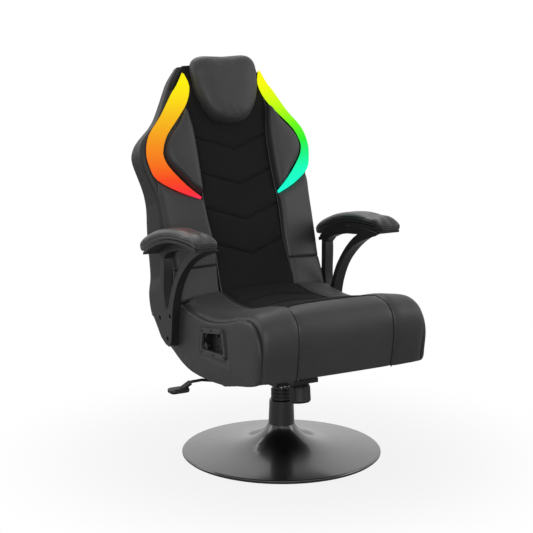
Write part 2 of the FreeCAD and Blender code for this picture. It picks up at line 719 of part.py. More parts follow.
def drawn_in(points, inset, reach):
    """Outline drawn towards its middle, by inset where it is reach wide."""
    mid_x = sum(x for x, z in points) / len(points)
    mid_z = sum(z for x, z in points) / len(points)
    kx = 1 - inset / reach[0]
    kz = 1 - inset / reach[1]
    return [(mid_x + (x - mid_x) * kx, mid_z + (z - mid_z) * kz) for x, z in points]


def pillow(points, rear, edge, crown, reach, slope=0.0):
    """Padded piece: straight sides to depth edge, then a domed front to crown.

    With a slope, the front falls back by that much for each millimetre away
    from the centre panel.
    """
    wires = []
    for share, inset in ((0, 0), (0.38, 2.5), (0.72, 7), (0.93, 14), (1, 24)):
        depth = between(edge, crown, share)
        rim = drawn_in(points, inset, reach)
        curve = Part.BSplineCurve()
        curve.interpolate(Points=[V(x, depth + slope * (x - PANEL_REAR_X), z) for x, z in rim], PeriodicFlag=True)
        wires.append(Part.Wire(curve.toShape()))
    sides = Part.makeLoft([loop_wire(points, rear), wires[0]], True, True)
    dome = Part.makeLoft(wires, True, False)
    return sides.fuse(dome).removeSplitter()


def smooth_stations(rows, steps):
    """Rows of a table with steps - 1 smooth rows put between each pair."""
    out = []
    last = len(rows) - 1
    for i in range(last):
        before = rows[max(i - 1, 0)]
        after = rows[min(i + 2, last)]
        for k in range(steps):
            t = k / steps
            row = []
            for a, b, c, d in zip(before, rows[i], rows[i + 1], after):
                bend = (2 * a - 5 * b + 4 * c - d) * t * t + (3 * b - a - 3 * c + d) * t ** 3
                row.append(b + 0.5 * ((c - a) * t + bend))
            out.append(row)
    return out + [list(rows[-1])]


def ribbon(thick, sink, grow):
    """Band on the wing's chamfer, thick along its normal and sunk behind it."""
    rows = smooth_stations(RIBBON, RIBBON_STEPS)
    starts = [V(*row[:3]) for row in rows]
    ends = [V(*row[3:]) for row in rows]
    wires = []
    for i, (a, b) in enumerate(zip(starts, ends)):
        across = b.sub(a)
        across.normalize()
        along = ends[min(i + 1, len(ends) - 1)].sub(ends[max(i - 1, 0)])
        along.y = 0
        normal = across.cross(along)
        normal.normalize()
        if normal.y < 0:
            normal = normal * -1
        a = a.sub(across * grow)
        b = b.add(across * grow)
        front = normal * sink
        rear = normal * (sink + thick)
        wires.append(polygon([a.add(front), b.add(front), b.add(rear), a.add(rear)]))
    if grow:
        for k, way in ((0, V(-grow, 0, 2 * grow)), (-1, V(-2 * grow, 0, -grow))):
            wire = wires[k].copy()
            wire.translate(way)
            wires.insert(0 if k == 0 else len(wires), wire)
    return Part.makeLoft(wires, True, True)


def ribbon_space():
    return ribbon(30, -30, 0.4).fuse(ribbon(10, 0, 0.4))


PANEL_STATIONS = [0, 34, 100, 180, 290, 353, 420, 480, 545, 610, BACK_TOP - 4]


def center_space():
    """Room of the centre panel between the pads at its two sides."""
    wires = []
    for s in PANEL_STATIONS:
        w = at(PANEL_HALF, s)
        wires.append(polygon([V(-w, -80, s), V(w, -80, s), V(w, PAD_REAR + 1, s), V(-w, PAD_REAR + 1, s)]))
    return Part.makeLoft(wires, True, False)


def back_center_panel():
    wires = []
    for s in PANEL_STATIONS:
        w = at(PANEL_HALF, s) - SEAM
        f = at(PANEL_FRONT, s)
        side = f + 4
        arc = Part.Arc(V(-w, side, s), V(0, f, s), V(w, side, s)).toShape()
        rear = PAD_REAR - SEAM
        rim = [V(w, side, s), V(w, rear, s), V(-w, rear, s), V(-w, side, s)]
        wires.append(Part.Wire([arc] + [Part.makeLine(a, b) for a, b in zip(rim, rim[1:])]))
    body = Part.makeLoft(wires, True, False)
    for i in range(4):
        tip = TOP_CHEVRON - i * CHEVRON_PITCH
        half = at(PANEL_HALF, tip)
        front = at(PANEL_FRONT, tip)
        body = body.cut(chevron(tip, half, CHEVRON_RISE, front, CHEVRON_W, CHEVRON_DEPTH))
    return body


SHOULDER = [(119, 300), (117, 350), (117, 410), (118, 470), (126, 530), (131, 545), (150, 522), (198, 468),
            (217, 430), (216, 406), (201, 379), (160, 333), (128, 302)]
LOWER_WING = [(113, 100), (112, 150), (116, 215), (119, 272), (130, 281), (185, 305), (236, 343),
              (240, 320), (238, 280), (237, 215), (235, 150), (232, 104), (222, 97), (170, 97), (122, 97)]
LOWER_SIDE = [(118, 6), (116, 50), (114, 84), (122, 92), (170, 92), (222, 92), (232, 88),
              (238, 56), (241, 8), (230, 2), (170, 2), (128, 2)]


def back_shoulder():
    return pillow(SHOULDER, PAD_REAR, 4, -20, (50, 120)).cut(ribbon_space()).cut(center_space())


def back_lower_wing():
    body = pillow(LOWER_WING, PAD_REAR, -2.5, -18, (62, 110), WING_SLOPE)
    return body.cut(ribbon_space()).cut(center_space())


def back_lower_side():
    body = pillow(LOWER_SIDE, PAD_REAR, -2.5, -18, (62, 45), WING_SLOPE)
    return body.cut(center_space()).cut(box(0, 300, -60, 60, -30, SEAM / 2))


def cover_section(s, wall):
    w = at(HALF_WIDTH, s) - wall
    front = PAD_REAR + SEAM + (wall if wall else 0)
    rear = at(REAR_DEPTH, s) - wall
    r = min(REAR_CORNER_R, (rear - front) * 0.45, w * 0.5)
    k = r * (1 - math.sqrt(0.5))
    left = Part.Arc(V(-w, rear - r, s), V(-w + k, rear - k, s), V(-w + r, rear, s)).toShape()
    right = Part.Arc(V(w - r, rear, s), V(w - k, rear - k, s), V(w, rear - r, s)).toShape()
    pts = [V(w, rear - r, s), V(w, front, s), V(-w, front, s), V(-w, rear - r, s)]
    lines = [Part.makeLine(a, b) for a, b in zip(pts, pts[1:])]
    return Part.Wire([left, Part.makeLine(V(-w + r, rear, s), V(w - r, rear, s)), right] + lines)


def back_rear_cover():
    middle = [60, 120, 190, 270, 322, 363, 399, 430, 460, 491, 528, 584, 630, 655]
    outer = Part.makeLoft([cover_section(s, 0) for s in [0] + middle + [BACK_TOP]], True, False)
    hollow = Part.makeLoft([cover_section(s, COVER_WALL) for s in [12] + middle], True, False)
    body = outer.cut(hollow)
    body = body.cut([ribbon_space(), mirrored(ribbon_space())])
    for side in (-1, 1):
        body = body.cut(cylinder(FRAME_R, -5, 20, side * FRAME_X, FRAME_Y))
    return body


def back_frame():
    """Steel hoop: two legs joined by a bent top, reaching down into the seat."""
    y = FRAME_Y
    top = FRAME_TOP
    bend = 40
    x = FRAME_X
    k = bend * (1 - math.sqrt(0.5))
    left = Part.makeLine(V(-x, y, FRAME_FOOT), V(-x, y, top - bend))
    turn1 = Part.Arc(V(-x, y, top - bend), V(-x + k, y, top - k), V(-x + bend, y, top)).toShape()
    roof = Part.makeLine(V(-x + bend, y, top), V(x - bend, y, top))
    turn2 = Part.Arc(V(x - bend, y, top), V(x - k, y, top - k), V(x, y, top - bend)).toShape()
    right = Part.makeLine(V(x, y, top - bend), V(x, y, FRAME_FOOT))
    path = Part.Wire([left, turn1, roof, turn2, right])
    ring = Part.Wire(Part.makeCircle(FRAME_R, V(-x, y, FRAME_FOOT), Z_AXIS))
    return path.makePipeShell([ring], True, True)


PILLOW_RIM = [(-22, 494), (22, 494), (46, 502), (66, 519), (86, 553), (97, 590), (102, 635), (99, 668),
              (88, 681), (40, 686), (-40, 686), (-88, 681), (-99, 668), (-102, 635), (-97, 590), (-86, 553),
              (-66, 519), (-46, 502)]


def headrest_pillow():
    return pillow(PILLOW_RIM, -SEAM, -14, -43, (62, 60))


def headrest_strap():
    """Wide band from the pillow over the back's top edge and down behind."""
    top = BACK_TOP + 1
    rear = [(at(REAR_DEPTH, z) + 1.5, z) for z in (BACK_TOP, BACK_TOP - 32, BACK_TOP - 72)]
    inner = [(SEAM, top), (rear[0][0], top)] + rear[1:]
    outer = [(y + STRAP_T, z) for y, z in rear[:0:-1]] + [(rear[0][0] + STRAP_T, top + STRAP_T), (SEAM, top + STRAP_T)]
    return prism([V(-STRAP_HALF_W, y, z) for y, z in inner + outer], V(2 * STRAP_HALF_W, 0, 0))


def back():
    shoulder = back_shoulder()
    wing = back_lower_wing()
    side = back_lower_side()
    strip = ribbon(4.0, 0.2, 0)
    channel = ribbon(5.0, 4.4, 0).cut(center_space())
    keep("back_center_panel", leaned(back_center_panel()))
    keep("back_shoulder_left", leaned(shoulder.copy()))
    keep("back_shoulder_right", leaned(mirrored(shoulder)))
    keep("back_lower_wing_left", leaned(wing.copy()))
    keep("back_lower_wing_right", leaned(mirrored(wing)))
    keep("back_lower_side_left", leaned(side.copy()))
    keep("back_lower_side_right", leaned(mirrored(side)))
    keep("led_strip_left", leaned(strip.copy()))
    keep("led_strip_right", leaned(mirrored(strip)))
    keep("led_channel_left", leaned(channel.copy()))
    keep("led_channel_right", leaned(mirrored(channel)))
    keep("back_rear_cover", leaned(back_rear_cover()))
    keep("back_frame", leaned(back_frame()))
    keep("headrest_pillow", leaned(headrest_pillow()))
    keep("headrest_strap", leaned(headrest_strap()))


# Armrests, side view in (y, z)

ARM_SLOT = [(5, 590), (30, 574), (56, 552), (90, 514), (116, 475), (131, 440), (141, 414), (150, 404),
            (160, 410), (165, 430), (167, 480), (167, 544)]
ARM_REAR = [(188, 548), (188, 466), (246, 398), (249, 386), (211, 347), (188, 322), (160, 307), (140, 304)]
ARM_FRONT = [(131, 309), (129, 352), (125, 395), (119, 426), (107, 458), (85, 497), (32, 549), (-36, 582), (-85, 598)]
ARM_FRONT_OUT = [(131, 309), (122, 352), (118, 395), (111, 430), (98, 463), (76, 500), (46, 532), (4, 565), (-62, 598)]
ARM_UNDER = (204, 544)
PAD_FOOT = [(206, 553), (175, 570), (140, 586), (100, 599), (50, 609), (0, 613), (-50, 612), (-100, 606)]
PAD_CROWN = [(252, 568), (232, 590), (200, 607), (160, 622), (110, 635), (50, 644), (-10, 647), (-60, 646),
             (-90, 641), (-108, 632), (-111, 622)]
ARM_BOLTS = [(194, 375), (132, 390), (148, 325)]


def arm_outline(x, front, rail):
    """Closed side view of the arm's frame on the plane x."""
    top = [V(x, y, z - 1) for y, z in rail]
    nose = [V(x, y, z) for y, z in front[::-1]]
    foot = [V(x, y, z) for y, z in ARM_REAR[::-1]] + [V(x, *ARM_UNDER), top[0]]
    edges = [spline_edge(top), Part.makeLine(top[-1], nose[0]), spline_edge(nose)]
    edges += [Part.makeLine(a, b) for a, b in zip([nose[-1]] + foot, foot)]
    return Part.Wire(edges)


def arm_frame():
    """One moulded loop: rear leg, curved front leg, top rail and bolting bracket.

    Its front edge slopes from a narrow outer face back to a wider inner face.
    """
    x = ARM_IN_X
    inner = arm_outline(x, ARM_FRONT, PAD_FOOT)
    outer = arm_outline(x + ARM_T, ARM_FRONT_OUT, PAD_FOOT[:-1] + [(-86, 608)])
    body = Part.makeLoft([inner, outer], True, True)
    hole = [V(x - 1, y, z) for y, z in ARM_SLOT]
    window = [spline_edge(hole[:7]), spline_edge(hole[6:9]), spline_edge(hole[8:])]
    roof = [hole[-1], V(x - 1, 150, 560), V(x - 1, 122, 571), V(x - 1, 66, 584), hole[0]]
    window += [Part.makeLine(a, b) for a, b in zip(roof, roof[1:])]
    body = body.cut(Part.Face(Part.Wire(window)).extrude(V(ARM_T + 2, 0, 0)))
    holes = [Part.makeCylinder(3.5, ARM_T + 2, V(x - 1, y, z), X_AXIS) for y, z in ARM_BOLTS]
    sinks = [Part.makeCylinder(6.5, 12, V(x + ARM_T - 10, y, z), X_AXIS) for y, z in ARM_BOLTS]
    return body.cut(holes + sinks)


def pad_section(y, z0, z1, inset):
    """Rounded pad section across X at one station."""
    x0 = PAD_IN_X + inset
    x1 = PAD_OUT_X - inset
    mid = (x0 + x1) / 2
    side = between(z0, z1, 0.62)
    q = between(z0, z1, 0.93)
    a = Part.Arc(V(x0, y, side), V(between(x0, mid, 0.25), y, q), V(mid, y, z1)).toShape()
    b = Part.Arc(V(mid, y, z1), V(between(mid, x1, 0.75), y, q), V(x1, y, side)).toShape()
    pts = [V(x1, y, side), V(x1 - 3, y, z0), V(x0 + 3, y, z0), V(x0, y, side)]
    return Part.Wire([a, b] + [Part.makeLine(p, r) for p, r in zip(pts, pts[1:])])


def foot_z(y):
    return at([(b, z) for b, z in PAD_FOOT[::-1]], y)


def crown_z(y):
    return at([(b, z) for b, z in PAD_CROWN[:10][::-1]], y)


def armrest_pad():
    stations = [(-111, 8), (-107, 3), (-98, 0), (-60, 0), (0, 0), (50, 0), (100, 0), (150, 0), (196, 1)]
    wires = [pad_section(y, foot_z(y) + LIP_T + 1.2, crown_z(y) - inset * 0.6, inset) for y, inset in stations]
    tail = []
    for y, z0, z1, inset in ((222, 560, 596, 3), (240, 560, 583, 8), (248, 562, 574, 14)):
        tail.append(pad_section(y, z0, z1, inset))
    return Part.makeLoft(wires + tail, True, False)


def armrest_plate():
    """Thin moulded tray under the pad, its lip flush with the pad's sides."""
    pts = [V(0, y, z) for y, z in PAD_FOOT]
    low = spline_edge(pts)
    high = low.copy()
    high.translate(V(0, 0, LIP_T))
    ends = [Part.makeLine(pts[0], pts[0].add(V(0, 0, LIP_T))), Part.makeLine(pts[-1], pts[-1].add(V(0, 0, LIP_T)))]
    body = Part.Face(Part.Wire(Part.__sortEdges__([low, high] + ends))).extrude(V(PAD_OUT_X - PAD_IN_X - 3, 0, 0))
    body.translate(V(PAD_IN_X + 1.5, 0, 0))
    return body


def arm_bolts():
    bolts = []
    for y, z in ARM_BOLTS:
        shank = Part.makeCylinder(3.5, 44, V(ARM_IN_X + ARM_T - 10 - 40, y, z), X_AXIS)
        head = Part.makeCylinder(6, 5, V(ARM_IN_X + ARM_T - 10, y, z), X_AXIS)
        key = prism([V(ARM_IN_X + ARM_T - 7.5, y + 2.6 * math.cos(math.pi * k / 3), z + 2.6 * math.sin(math.pi * k / 3))
                     for k in range(6)], V(5, 0, 0))
        bolts.append(head.fuse(shank).cut(key).removeSplitter())
    return bolts


def arm_bolt_holes():
    holes = []
    for y, z in ARM_BOLTS:
        one = Part.makeCylinder(3.5, 60, V(ARM_IN_X - 32, y, z), X_AXIS)
        holes += [one, mirrored(one)]
    return Part.makeCompound(holes)


def arms():
    frame = arm_frame()
    plate = armrest_plate()
    pad = armrest_pad().cut(plate)
    bolts = arm_bolts()
    keep("armrest_bolts", Part.makeCompound(bolts + [mirrored(b) for b in bolts]))
    for side, turn in (("left", False), ("right", True)):
        for name, shape in (("armrest_frame", frame), ("armrest_pad", pad), ("armrest_plate", plate)):
            keep("%s_%s" % (name, side), mirrored(shape) if turn else shape.copy())


# Sound controls, built facing +X at x = 0, then mirrored to the right side

BEZEL = [(-11, 386), (-132, 406), (-150, 327), (-7, 316)]


def bezel_frame_points(inset):
    return shrunk(BEZEL, inset * 1.25)


def rounded_plate(points, x0, x1, r):
    body = prism([V(x0, y, z) for y, z in points], V(x1 - x0, 0, 0))
    corners = [e for e in body.Edges if e.BoundBox.XLength > abs(x1 - x0) - 0.01]
    return rounded(body, corners, r)


def on_right_side(shape):
    return mirrored(on_side(shape, 0))


def control_pocket():
    return on_right_side(rounded_plate(bezel_frame_points(4), -TRAY_DEPTH - 14, 10, 8))


def control_bezel():
    body = rounded_plate(BEZEL, 0, BEZEL_T, 12)
    body = body.cut(rounded_plate(bezel_frame_points(12), -1, BEZEL_T + 1, 7))
    for y, z in BEZEL_SCREWS:
        body = body.cut(Part.makeCylinder(1.6, 20, V(-10, y, z), X_AXIS))
    return body


BEZEL_SCREWS = [(-70, 390), (-79, 327.5), (-126, 396), (-142, 334), (-18, 379), (-16, 323)]


def control_tray():
    depth = TRAY_DEPTH
    body = rounded_plate(bezel_frame_points(4.6), -depth, 0, 8)
    body = body.cut(rounded_plate(bezel_frame_points(12), -depth + 3, 1, 7))
    for y, z in BEZEL_SCREWS:
        body = body.cut(Part.makeCylinder(1.6, 8, V(-8, y, z), X_AXIS))
    holes = [Part.makeCylinder(r + 0.4, 10, V(-depth - 3, y, z), X_AXIS) for y, z, r in CONTROLS]
    return body.cut(holes)


CONTROLS = [(-98, 374, 8.0), (-98, 350, 8.0), (-64, 374, 5.0), (-62, 344, 4.0), (-42, 344, 4.0)]


def bezel_screws():
    out = []
    for y, z in BEZEL_SCREWS:
        head = Part.makeCylinder(3.2, 1.6, V(BEZEL_T, y, z), X_AXIS)
        shank = Part.makeCylinder(1.6, BEZEL_T + 6, V(-6, y, z), X_AXIS)
        out.append(head.fuse(shank).removeSplitter())
    return Part.makeCompound(out)


def dial(y, z):
    floor = -TRAY_DEPTH
    stem = Part.makeCylinder(3, 14, V(floor - 6, y, z), X_AXIS)
    cap = Part.makeCylinder(8, 10, V(floor + 0.5, y, z), X_AXIS)
    rim = [e for e in cap.Edges if abs(e.BoundBox.XMin - (floor + 10.5)) < 0.01]
    cap = cap.makeChamfer(1.2, rim)
    mark = box(floor + 9.6, floor + 12, y - 0.6, y + 0.6, z + 1, z + 9)
    return cap.fuse(stem).cut(mark).removeSplitter()


def control_board():
    """Circuit board behind the tray, drilled for the dials' stems."""
    x0 = -TRAY_DEPTH - 7
    body = rounded_plate(bezel_frame_points(10), x0, x0 + 1.6, 4)
    for y, z, r in CONTROLS[:2]:
        body = body.cut(Part.makeCylinder(3 + RUN, 6, V(x0 - 2, y, z), X_AXIS))
    return body


def jack_block():
    """Two round audio sockets that stand through the tray's floor."""
    parts = []
    x0 = -TRAY_DEPTH - 5.4
    for y, z, r in CONTROLS[3:]:
        body = Part.makeCylinder(r, 9.4, V(x0, y, z), X_AXIS)
        parts.append(body.cut(Part.makeCylinder(1.8, 8.4, V(x0 + 1, y, z), X_AXIS)))
    foot = box(x0, x0 + 2, CONTROLS[3][0] - 5, CONTROLS[4][0] + 5, 338, 350)
    joined = foot.fuse(parts)
    for y, z, r in CONTROLS[3:]:
        joined = joined.cut(Part.makeCylinder(1.8, 12, V(x0 + 1, y, z), X_AXIS))
    return joined.removeSplitter()


def power_button():
    y, z, r = CONTROLS[2]
    floor = -TRAY_DEPTH
    cap = Part.makeCylinder(r, 8.5, V(floor - 1.5, y, z), X_AXIS)
    ring = Part.makeCylinder(2.6, 1, V(floor + 6.4, y, z), X_AXIS).cut(
        Part.makeCylinder(1.8, 1, V(floor + 6.4, y, z), X_AXIS))
    flange = Part.makeCylinder(r + 1.2, 1, V(floor - 1.5, y, z), X_AXIS)
    return cap.fuse(flange).cut(ring).removeSplitter()


def controls():
    keep("control_bezel", on_right_side(control_bezel()))
    keep("control_tray", on_right_side(control_tray()))
    keep("bezel_screws", on_right_side(bezel_screws()))
    keep("control_board", on_right_side(control_board()))
    keep("jack_block", on_right_side(jack_block()))
    keep("volume_dial", on_right_side(dial(*CONTROLS[0][:2])))
    keep("bass_dial", on_right_side(dial(*CONTROLS[1][:2])))
    keep("power_button", on_right_side(power_button()))


os.makedirs("parts", exist_ok=True)
pedestal()
column()
mechanism()
seat()
back()
arms()
controls()
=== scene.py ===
import math

import bpy
from mathutils import Matrix, Vector

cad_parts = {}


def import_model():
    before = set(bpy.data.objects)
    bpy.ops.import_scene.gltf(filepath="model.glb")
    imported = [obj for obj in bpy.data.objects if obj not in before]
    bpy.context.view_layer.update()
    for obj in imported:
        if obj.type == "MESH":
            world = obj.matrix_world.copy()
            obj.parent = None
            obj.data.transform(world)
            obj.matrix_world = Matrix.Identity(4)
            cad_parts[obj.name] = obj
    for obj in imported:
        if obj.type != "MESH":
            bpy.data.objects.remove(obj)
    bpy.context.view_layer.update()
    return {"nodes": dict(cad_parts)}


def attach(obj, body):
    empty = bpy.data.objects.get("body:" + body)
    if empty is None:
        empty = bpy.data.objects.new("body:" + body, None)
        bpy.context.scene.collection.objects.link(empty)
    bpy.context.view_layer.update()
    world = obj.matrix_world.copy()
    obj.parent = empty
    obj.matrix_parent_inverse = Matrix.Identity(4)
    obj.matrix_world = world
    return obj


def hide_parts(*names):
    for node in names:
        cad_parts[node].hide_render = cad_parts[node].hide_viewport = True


# Looks for a gaming rocker chair. Sizes are written in millimetres and turned
# to metres when a point is placed. The sitter faces -Y, the floor is z = 0.

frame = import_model()
NODES = frame["nodes"]
MM = 0.001

# Backrest: its own frame is x across, y depth (front is minus), s up along it
BACK_LEAN = math.radians(18.3)
BACK_FOOT_Y = 134.4
BACK_FOOT_Z = 420.0
BACK_TOP = 672.0
PAD_REAR = 34.0
PANEL_HALF = [(0, 116), (35, 118), (147, 112), (252, 119), (353, 116), (460, 117), (545, 130), (672, 118)]
PANEL_FRONT = [(0, -20), (34, -20), (100, -13), (180, -6), (290, 0), (672, 0)]
BACK_TIPS = [115.0, 216.4, 317.8, 419.2]
HALF_WIDTH = [(0, 241), (22, 242), (60, 240), (96, 234), (150, 236), (220, 238), (286, 239), (322, 245),
              (345, 252), (363, 258), (399, 267), (425, 270), (453, 265), (472, 254), (491, 235),
              (509, 216), (528, 201), (554, 186), (584, 171), (608, 160), (638, 143), (672, 118)]
REAR_DEPTH = [(0, 205), (60, 203), (142, 181), (190, 172), (230, 163), (296, 140), (362, 123), (430, 124),
              (470, 112), (514, 98), (580, 92), (640, 84), (672, 70)]
REAR_CORNER = 18.0
WING_SLOPE = 0.25
BAND_IN = [(121, 641), (112, 604), (127, 560), (160, 520), (205, 470), (223, 430), (223, 405), (208, 376),
           (165, 326), (124, 290)]
BAND_OUT = [(126, 645), (146, 611), (166, 586), (205, 528), (247, 477), (262, 430), (259, 390), (243, 350),
            (185, 310), (126, 284)]

# Seat cushion: side view as y, z
SEAT_TOP = [(-250, 480), (-180, 466), (-120, 450), (-60, 439), (0, 436), (60, 440), (124, 451)]
SEAT_NOSE = [(-250, 480), (-296, 470), (-322, 445), (-331, 410), (-329, 360), (-319, 298)]
NOSE_BACK = [0, 0.3, 0.45, 0.5, 0.5, 0.5]
NOSE_DOWN = [1, 0.8, 0.5, 0.2, 0, 0]
EDGE_DROP = [(0, 0), (0.5, 0.8), (0.8, 1.9), (0.9, 3), (0.96, 5), (1, 8)]
SEAT_TIPS = [-52.0, 42.0, 136.0]
CUSHION_REAR_Y = 124.0
CREST_Y = -250.0
CUSHION_FOOT_Z = 334.0
PANEL_REAR_X = 118.0
PANEL_FRONT_X = 143.0
NOSE_FOOT_Y = -319.0
CORE_FRONT_Y = -286.0
V_RISE = 41.0

# Seat sides
SIDE_X = 256.0
SIDE_Y = -300.0
SIDE_TURN = math.radians(1.3)
BEZEL = [(-11, 386), (-132, 406), (-150, 327), (-7, 316)]

# Arm pads: side view of the pad's foot and crown as y, z
PAD_FOOT = [(-100, 613), (-50, 619), (0, 620), (50, 616), (100, 606), (140, 593), (175, 577), (206, 560)]
PAD_CROWN = [(-108, 632), (-90, 641), (-60, 646), (-10, 647), (50, 644), (110, 635), (160, 622), (200, 607),
             (232, 590)]

SEAM_GAP = 0.8
COVER_GAP = 0.4


# Tables and places

def at(table, t):
    """Smooth value from a table of (station, value) pairs."""
    if t <= table[0][0]:
        return table[0][1]
    for i in range(len(table) - 1):
        t0, v0 = table[i]
        t1, v1 = table[i + 1]
        if t <= t1:
            break
    else:
        return table[-1][1]
    span = t1 - t0
    before = table[i - 1] if i else None
    after = table[i + 2] if i + 2 < len(table) else None
    slope = (v1 - v0) / span
    m0 = (v1 - before[1]) / (t1 - before[0]) if before else slope
    m1 = (after[1] - v0) / (after[0] - t0) if after else slope
    k = (t - t0) / span
    h = k * k * (3 - 2 * k)
    return v0 + (v1 - v0) * h + span * (m0 * k * (1 - k) ** 2 - m1 * k * k * (1 - k))


def on_back(x, y, s):
    """Place of a point that is given in the backrest's own frame."""
    turn, rise = math.cos(BACK_LEAN), math.sin(BACK_LEAN)
    return Vector((x, BACK_FOOT_Y + y * turn + s * rise, BACK_FOOT_Z - y * rise + s * turn)) * MM


def back_frame_of(point):
    """The backrest's own x, y and s of a place, in millimetres."""
    turn, rise = math.cos(BACK_LEAN), math.sin(BACK_LEAN)
    y = point.y / MM - BACK_FOOT_Y
    z = point.z / MM - BACK_FOOT_Z
    return point.x / MM, y * turn - z * rise, y * rise + z * turn


def on_right_side(out, y, z):
    """Place on the seat's tapered right side, out millimetres proud of it."""
    dy = y - SIDE_Y
    x = SIDE_X + out * math.cos(SIDE_TURN) - dy * math.sin(SIDE_TURN)
    return Vector((-x, SIDE_Y + out * math.sin(SIDE_TURN) + dy * math.cos(SIDE_TURN), z)) * MM


def seam_x(y):
    """Half width of the seat's centre panel."""
    widening = (PANEL_FRONT_X - PANEL_REAR_X) * (CUSHION_REAR_Y - y)
    return PANEL_REAR_X + widening / (CUSHION_REAR_Y - NOSE_FOOT_Y)


# Working on pieces

def nothing_selected():
    if bpy.context.object and bpy.context.object.mode != "OBJECT":
        bpy.ops.object.mode_set(mode="OBJECT")
    bpy.ops.object.select_all(action="DESELECT")


def pick(piece):
    nothing_selected()
    piece.hide_viewport = False
    piece.select_set(True)
    bpy.context.view_layer.objects.active = piece
    return piece


def new_piece(name, points, faces):
    mesh = bpy.data.meshes.new(name)
    mesh.from_pydata([tuple(p) for p in points], [], faces)
    piece = bpy.data.objects.new(name, mesh)
    bpy.context.scene.collection.objects.link(piece)
    return piece


def facing_out(piece, merge=True):
    pick(piece)
    bpy.ops.object.mode_set(mode="EDIT")
    bpy.ops.mesh.select_all(action="SELECT")
    if merge:
        bpy.ops.mesh.remove_doubles(threshold=0.00002)
    bpy.ops.mesh.normals_make_consistent(inside=False)
    bpy.ops.object.mode_set(mode="OBJECT")
    return piece


def copy_of(node, name):
    """Own copy of a CAD solid's skin, its loose triangles joined."""
    piece = bpy.data.objects.new(name, NODES[node].data.copy())
    bpy.context.scene.collection.objects.link(piece)
    piece.data.materials.clear()
    return facing_out(piece)


def joined(pieces, name):
    pick(pieces[0])
    for other in pieces[1:]:
        other.select_set(True)
    bpy.ops.object.join()
    pieces[0].name = name
    return pieces[0]


def remeshed(piece, size):
    """Even mesh of square faces, so that cloth folds alike all over."""
    pick(piece)
    piece.data.remesh_voxel_size = size * MM
    bpy.ops.object.voxel_remesh()
    return piece


def smoothed(piece, rounds):
    modifier = piece.modifiers.new("soften", "SMOOTH")
    modifier.factor = 0.5
    modifier.iterations = rounds
    return applied(piece, modifier)


def applied(piece, modifier):
    pick(piece)
    bpy.ops.object.modifier_apply(modifier=modifier.name)
    return piece


def subdivided(piece):
    modifier = piece.modifiers.new("fine", "SUBSURF")
    modifier.levels = 1
    modifier.render_levels = 1
    applied(piece, modifier)
    return shaded_smooth(piece)


def shaded_smooth(piece):
    pick(piece)
    bpy.ops.object.shade_smooth()
    return piece


CLOTH_STEPS = 20


def puffed(piece, held, pressure, cap):
    """Blow a sewn skin up as cloth. Held points stay, and none moves past cap."""
    start = [v.co.copy() for v in piece.data.vertices]
    group = piece.vertex_groups.new(name="held")
    pinned = [v.index for v in piece.data.vertices if held(v)]
    group.add(pinned, 1.0, "REPLACE")
    cloth = piece.modifiers.new("cloth", "CLOTH")
    settings = cloth.settings
    settings.quality = 5
    settings.use_pressure = True
    settings.uniform_pressure_force = pressure
    settings.vertex_group_mass = "held"
    settings.effector_weights.gravity = 0
    settings.tension_stiffness = 12
    settings.compression_stiffness = 12
    settings.bending_stiffness = 0.4
    cloth.collision_settings.use_collision = False
    for step in range(1, CLOTH_STEPS + 1):
        bpy.context.scene.frame_set(step)
    applied(piece, cloth)
    limit = cap * MM
    for v, before in zip(piece.data.vertices, start):
        move = v.co - before
        if move.length > 1e-9:
            v.co = before + move * (limit / (limit + move.length))
    bpy.context.scene.frame_set(1)
    piece.vertex_groups.clear()
    return piece


def mirrored(piece, name):
    """The other side's copy of a piece."""
    twin = bpy.data.objects.new(name, piece.data.copy())
    bpy.context.scene.collection.objects.link(twin)
    twin.data.transform(Matrix.Scale(-1, 4, Vector((1, 0, 0))))
    twin.data.flip_normals()
    return twin


def dressed(piece, *finishes):
    piece.data.materials.clear()
    for finish in finishes:
        piece.data.materials.append(finish)
    return piece


def on_seat(piece, nodes):
    """Let a piece ride on the seat and stand for its CAD nodes."""
    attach(piece, "seat")
    if nodes:
        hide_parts(*nodes)
    return piece


# Skins made of rows of points

def closed_skin(name, front, rear):
    """Pad with a front made of rows of points and a rim set back to rear(point, row)."""
    rows, cols = len(front), len(front[0])
    points = [p for row in front for p in row]
    faces = []
    for i in range(rows - 1):
        for j in range(cols - 1):
            a = i * cols + j
            faces.append((a, a + 1, a + cols + 1, a + cols))
    behind = {}

    def back(i, j):
        if (i, j) not in behind:
            behind[i, j] = len(points)
            points.append(rear(front[i][j], i))
        return behind[i, j]

    for j in range(cols - 1):
        for i in (0, rows - 1):
            faces.append((i * cols + j, i * cols + j + 1, back(i, j + 1), back(i, j)))
    for i in range(rows - 1):
        for j in (0, cols - 1):
            faces.append((i * cols + j, (i + 1) * cols + j, back(i + 1, j), back(i, j)))
    for i in range(1, rows - 2):
        faces.append((back(i, 0), back(i, cols - 1), back(i + 1, cols - 1), back(i + 1, 0)))
    faces.append([back(0, j) for j in range(cols)] + [back(1, cols - 1), back(1, 0)])
    faces.append([back(rows - 1, j) for j in range(cols)] + [back(rows - 2, cols - 1), back(rows - 2, 0)])
    return facing_out(new_piece(name, points, faces), merge=False)


GROOVE_STEPS = [-14, -10.5, -8, -6, -4.4, -3, -1.8, -0.8, 0, 0.8, 1.8, 3, 4.4, 6, 8, 10.5, 14]
GROOVE_CLEAR = 16
GROOVE_DEPTH = 8.0
GROOVE_REACH = 8.0
LIP_LIFT = 2.5
LIP_REACH = 26.0
PANEL_PITCH = 6


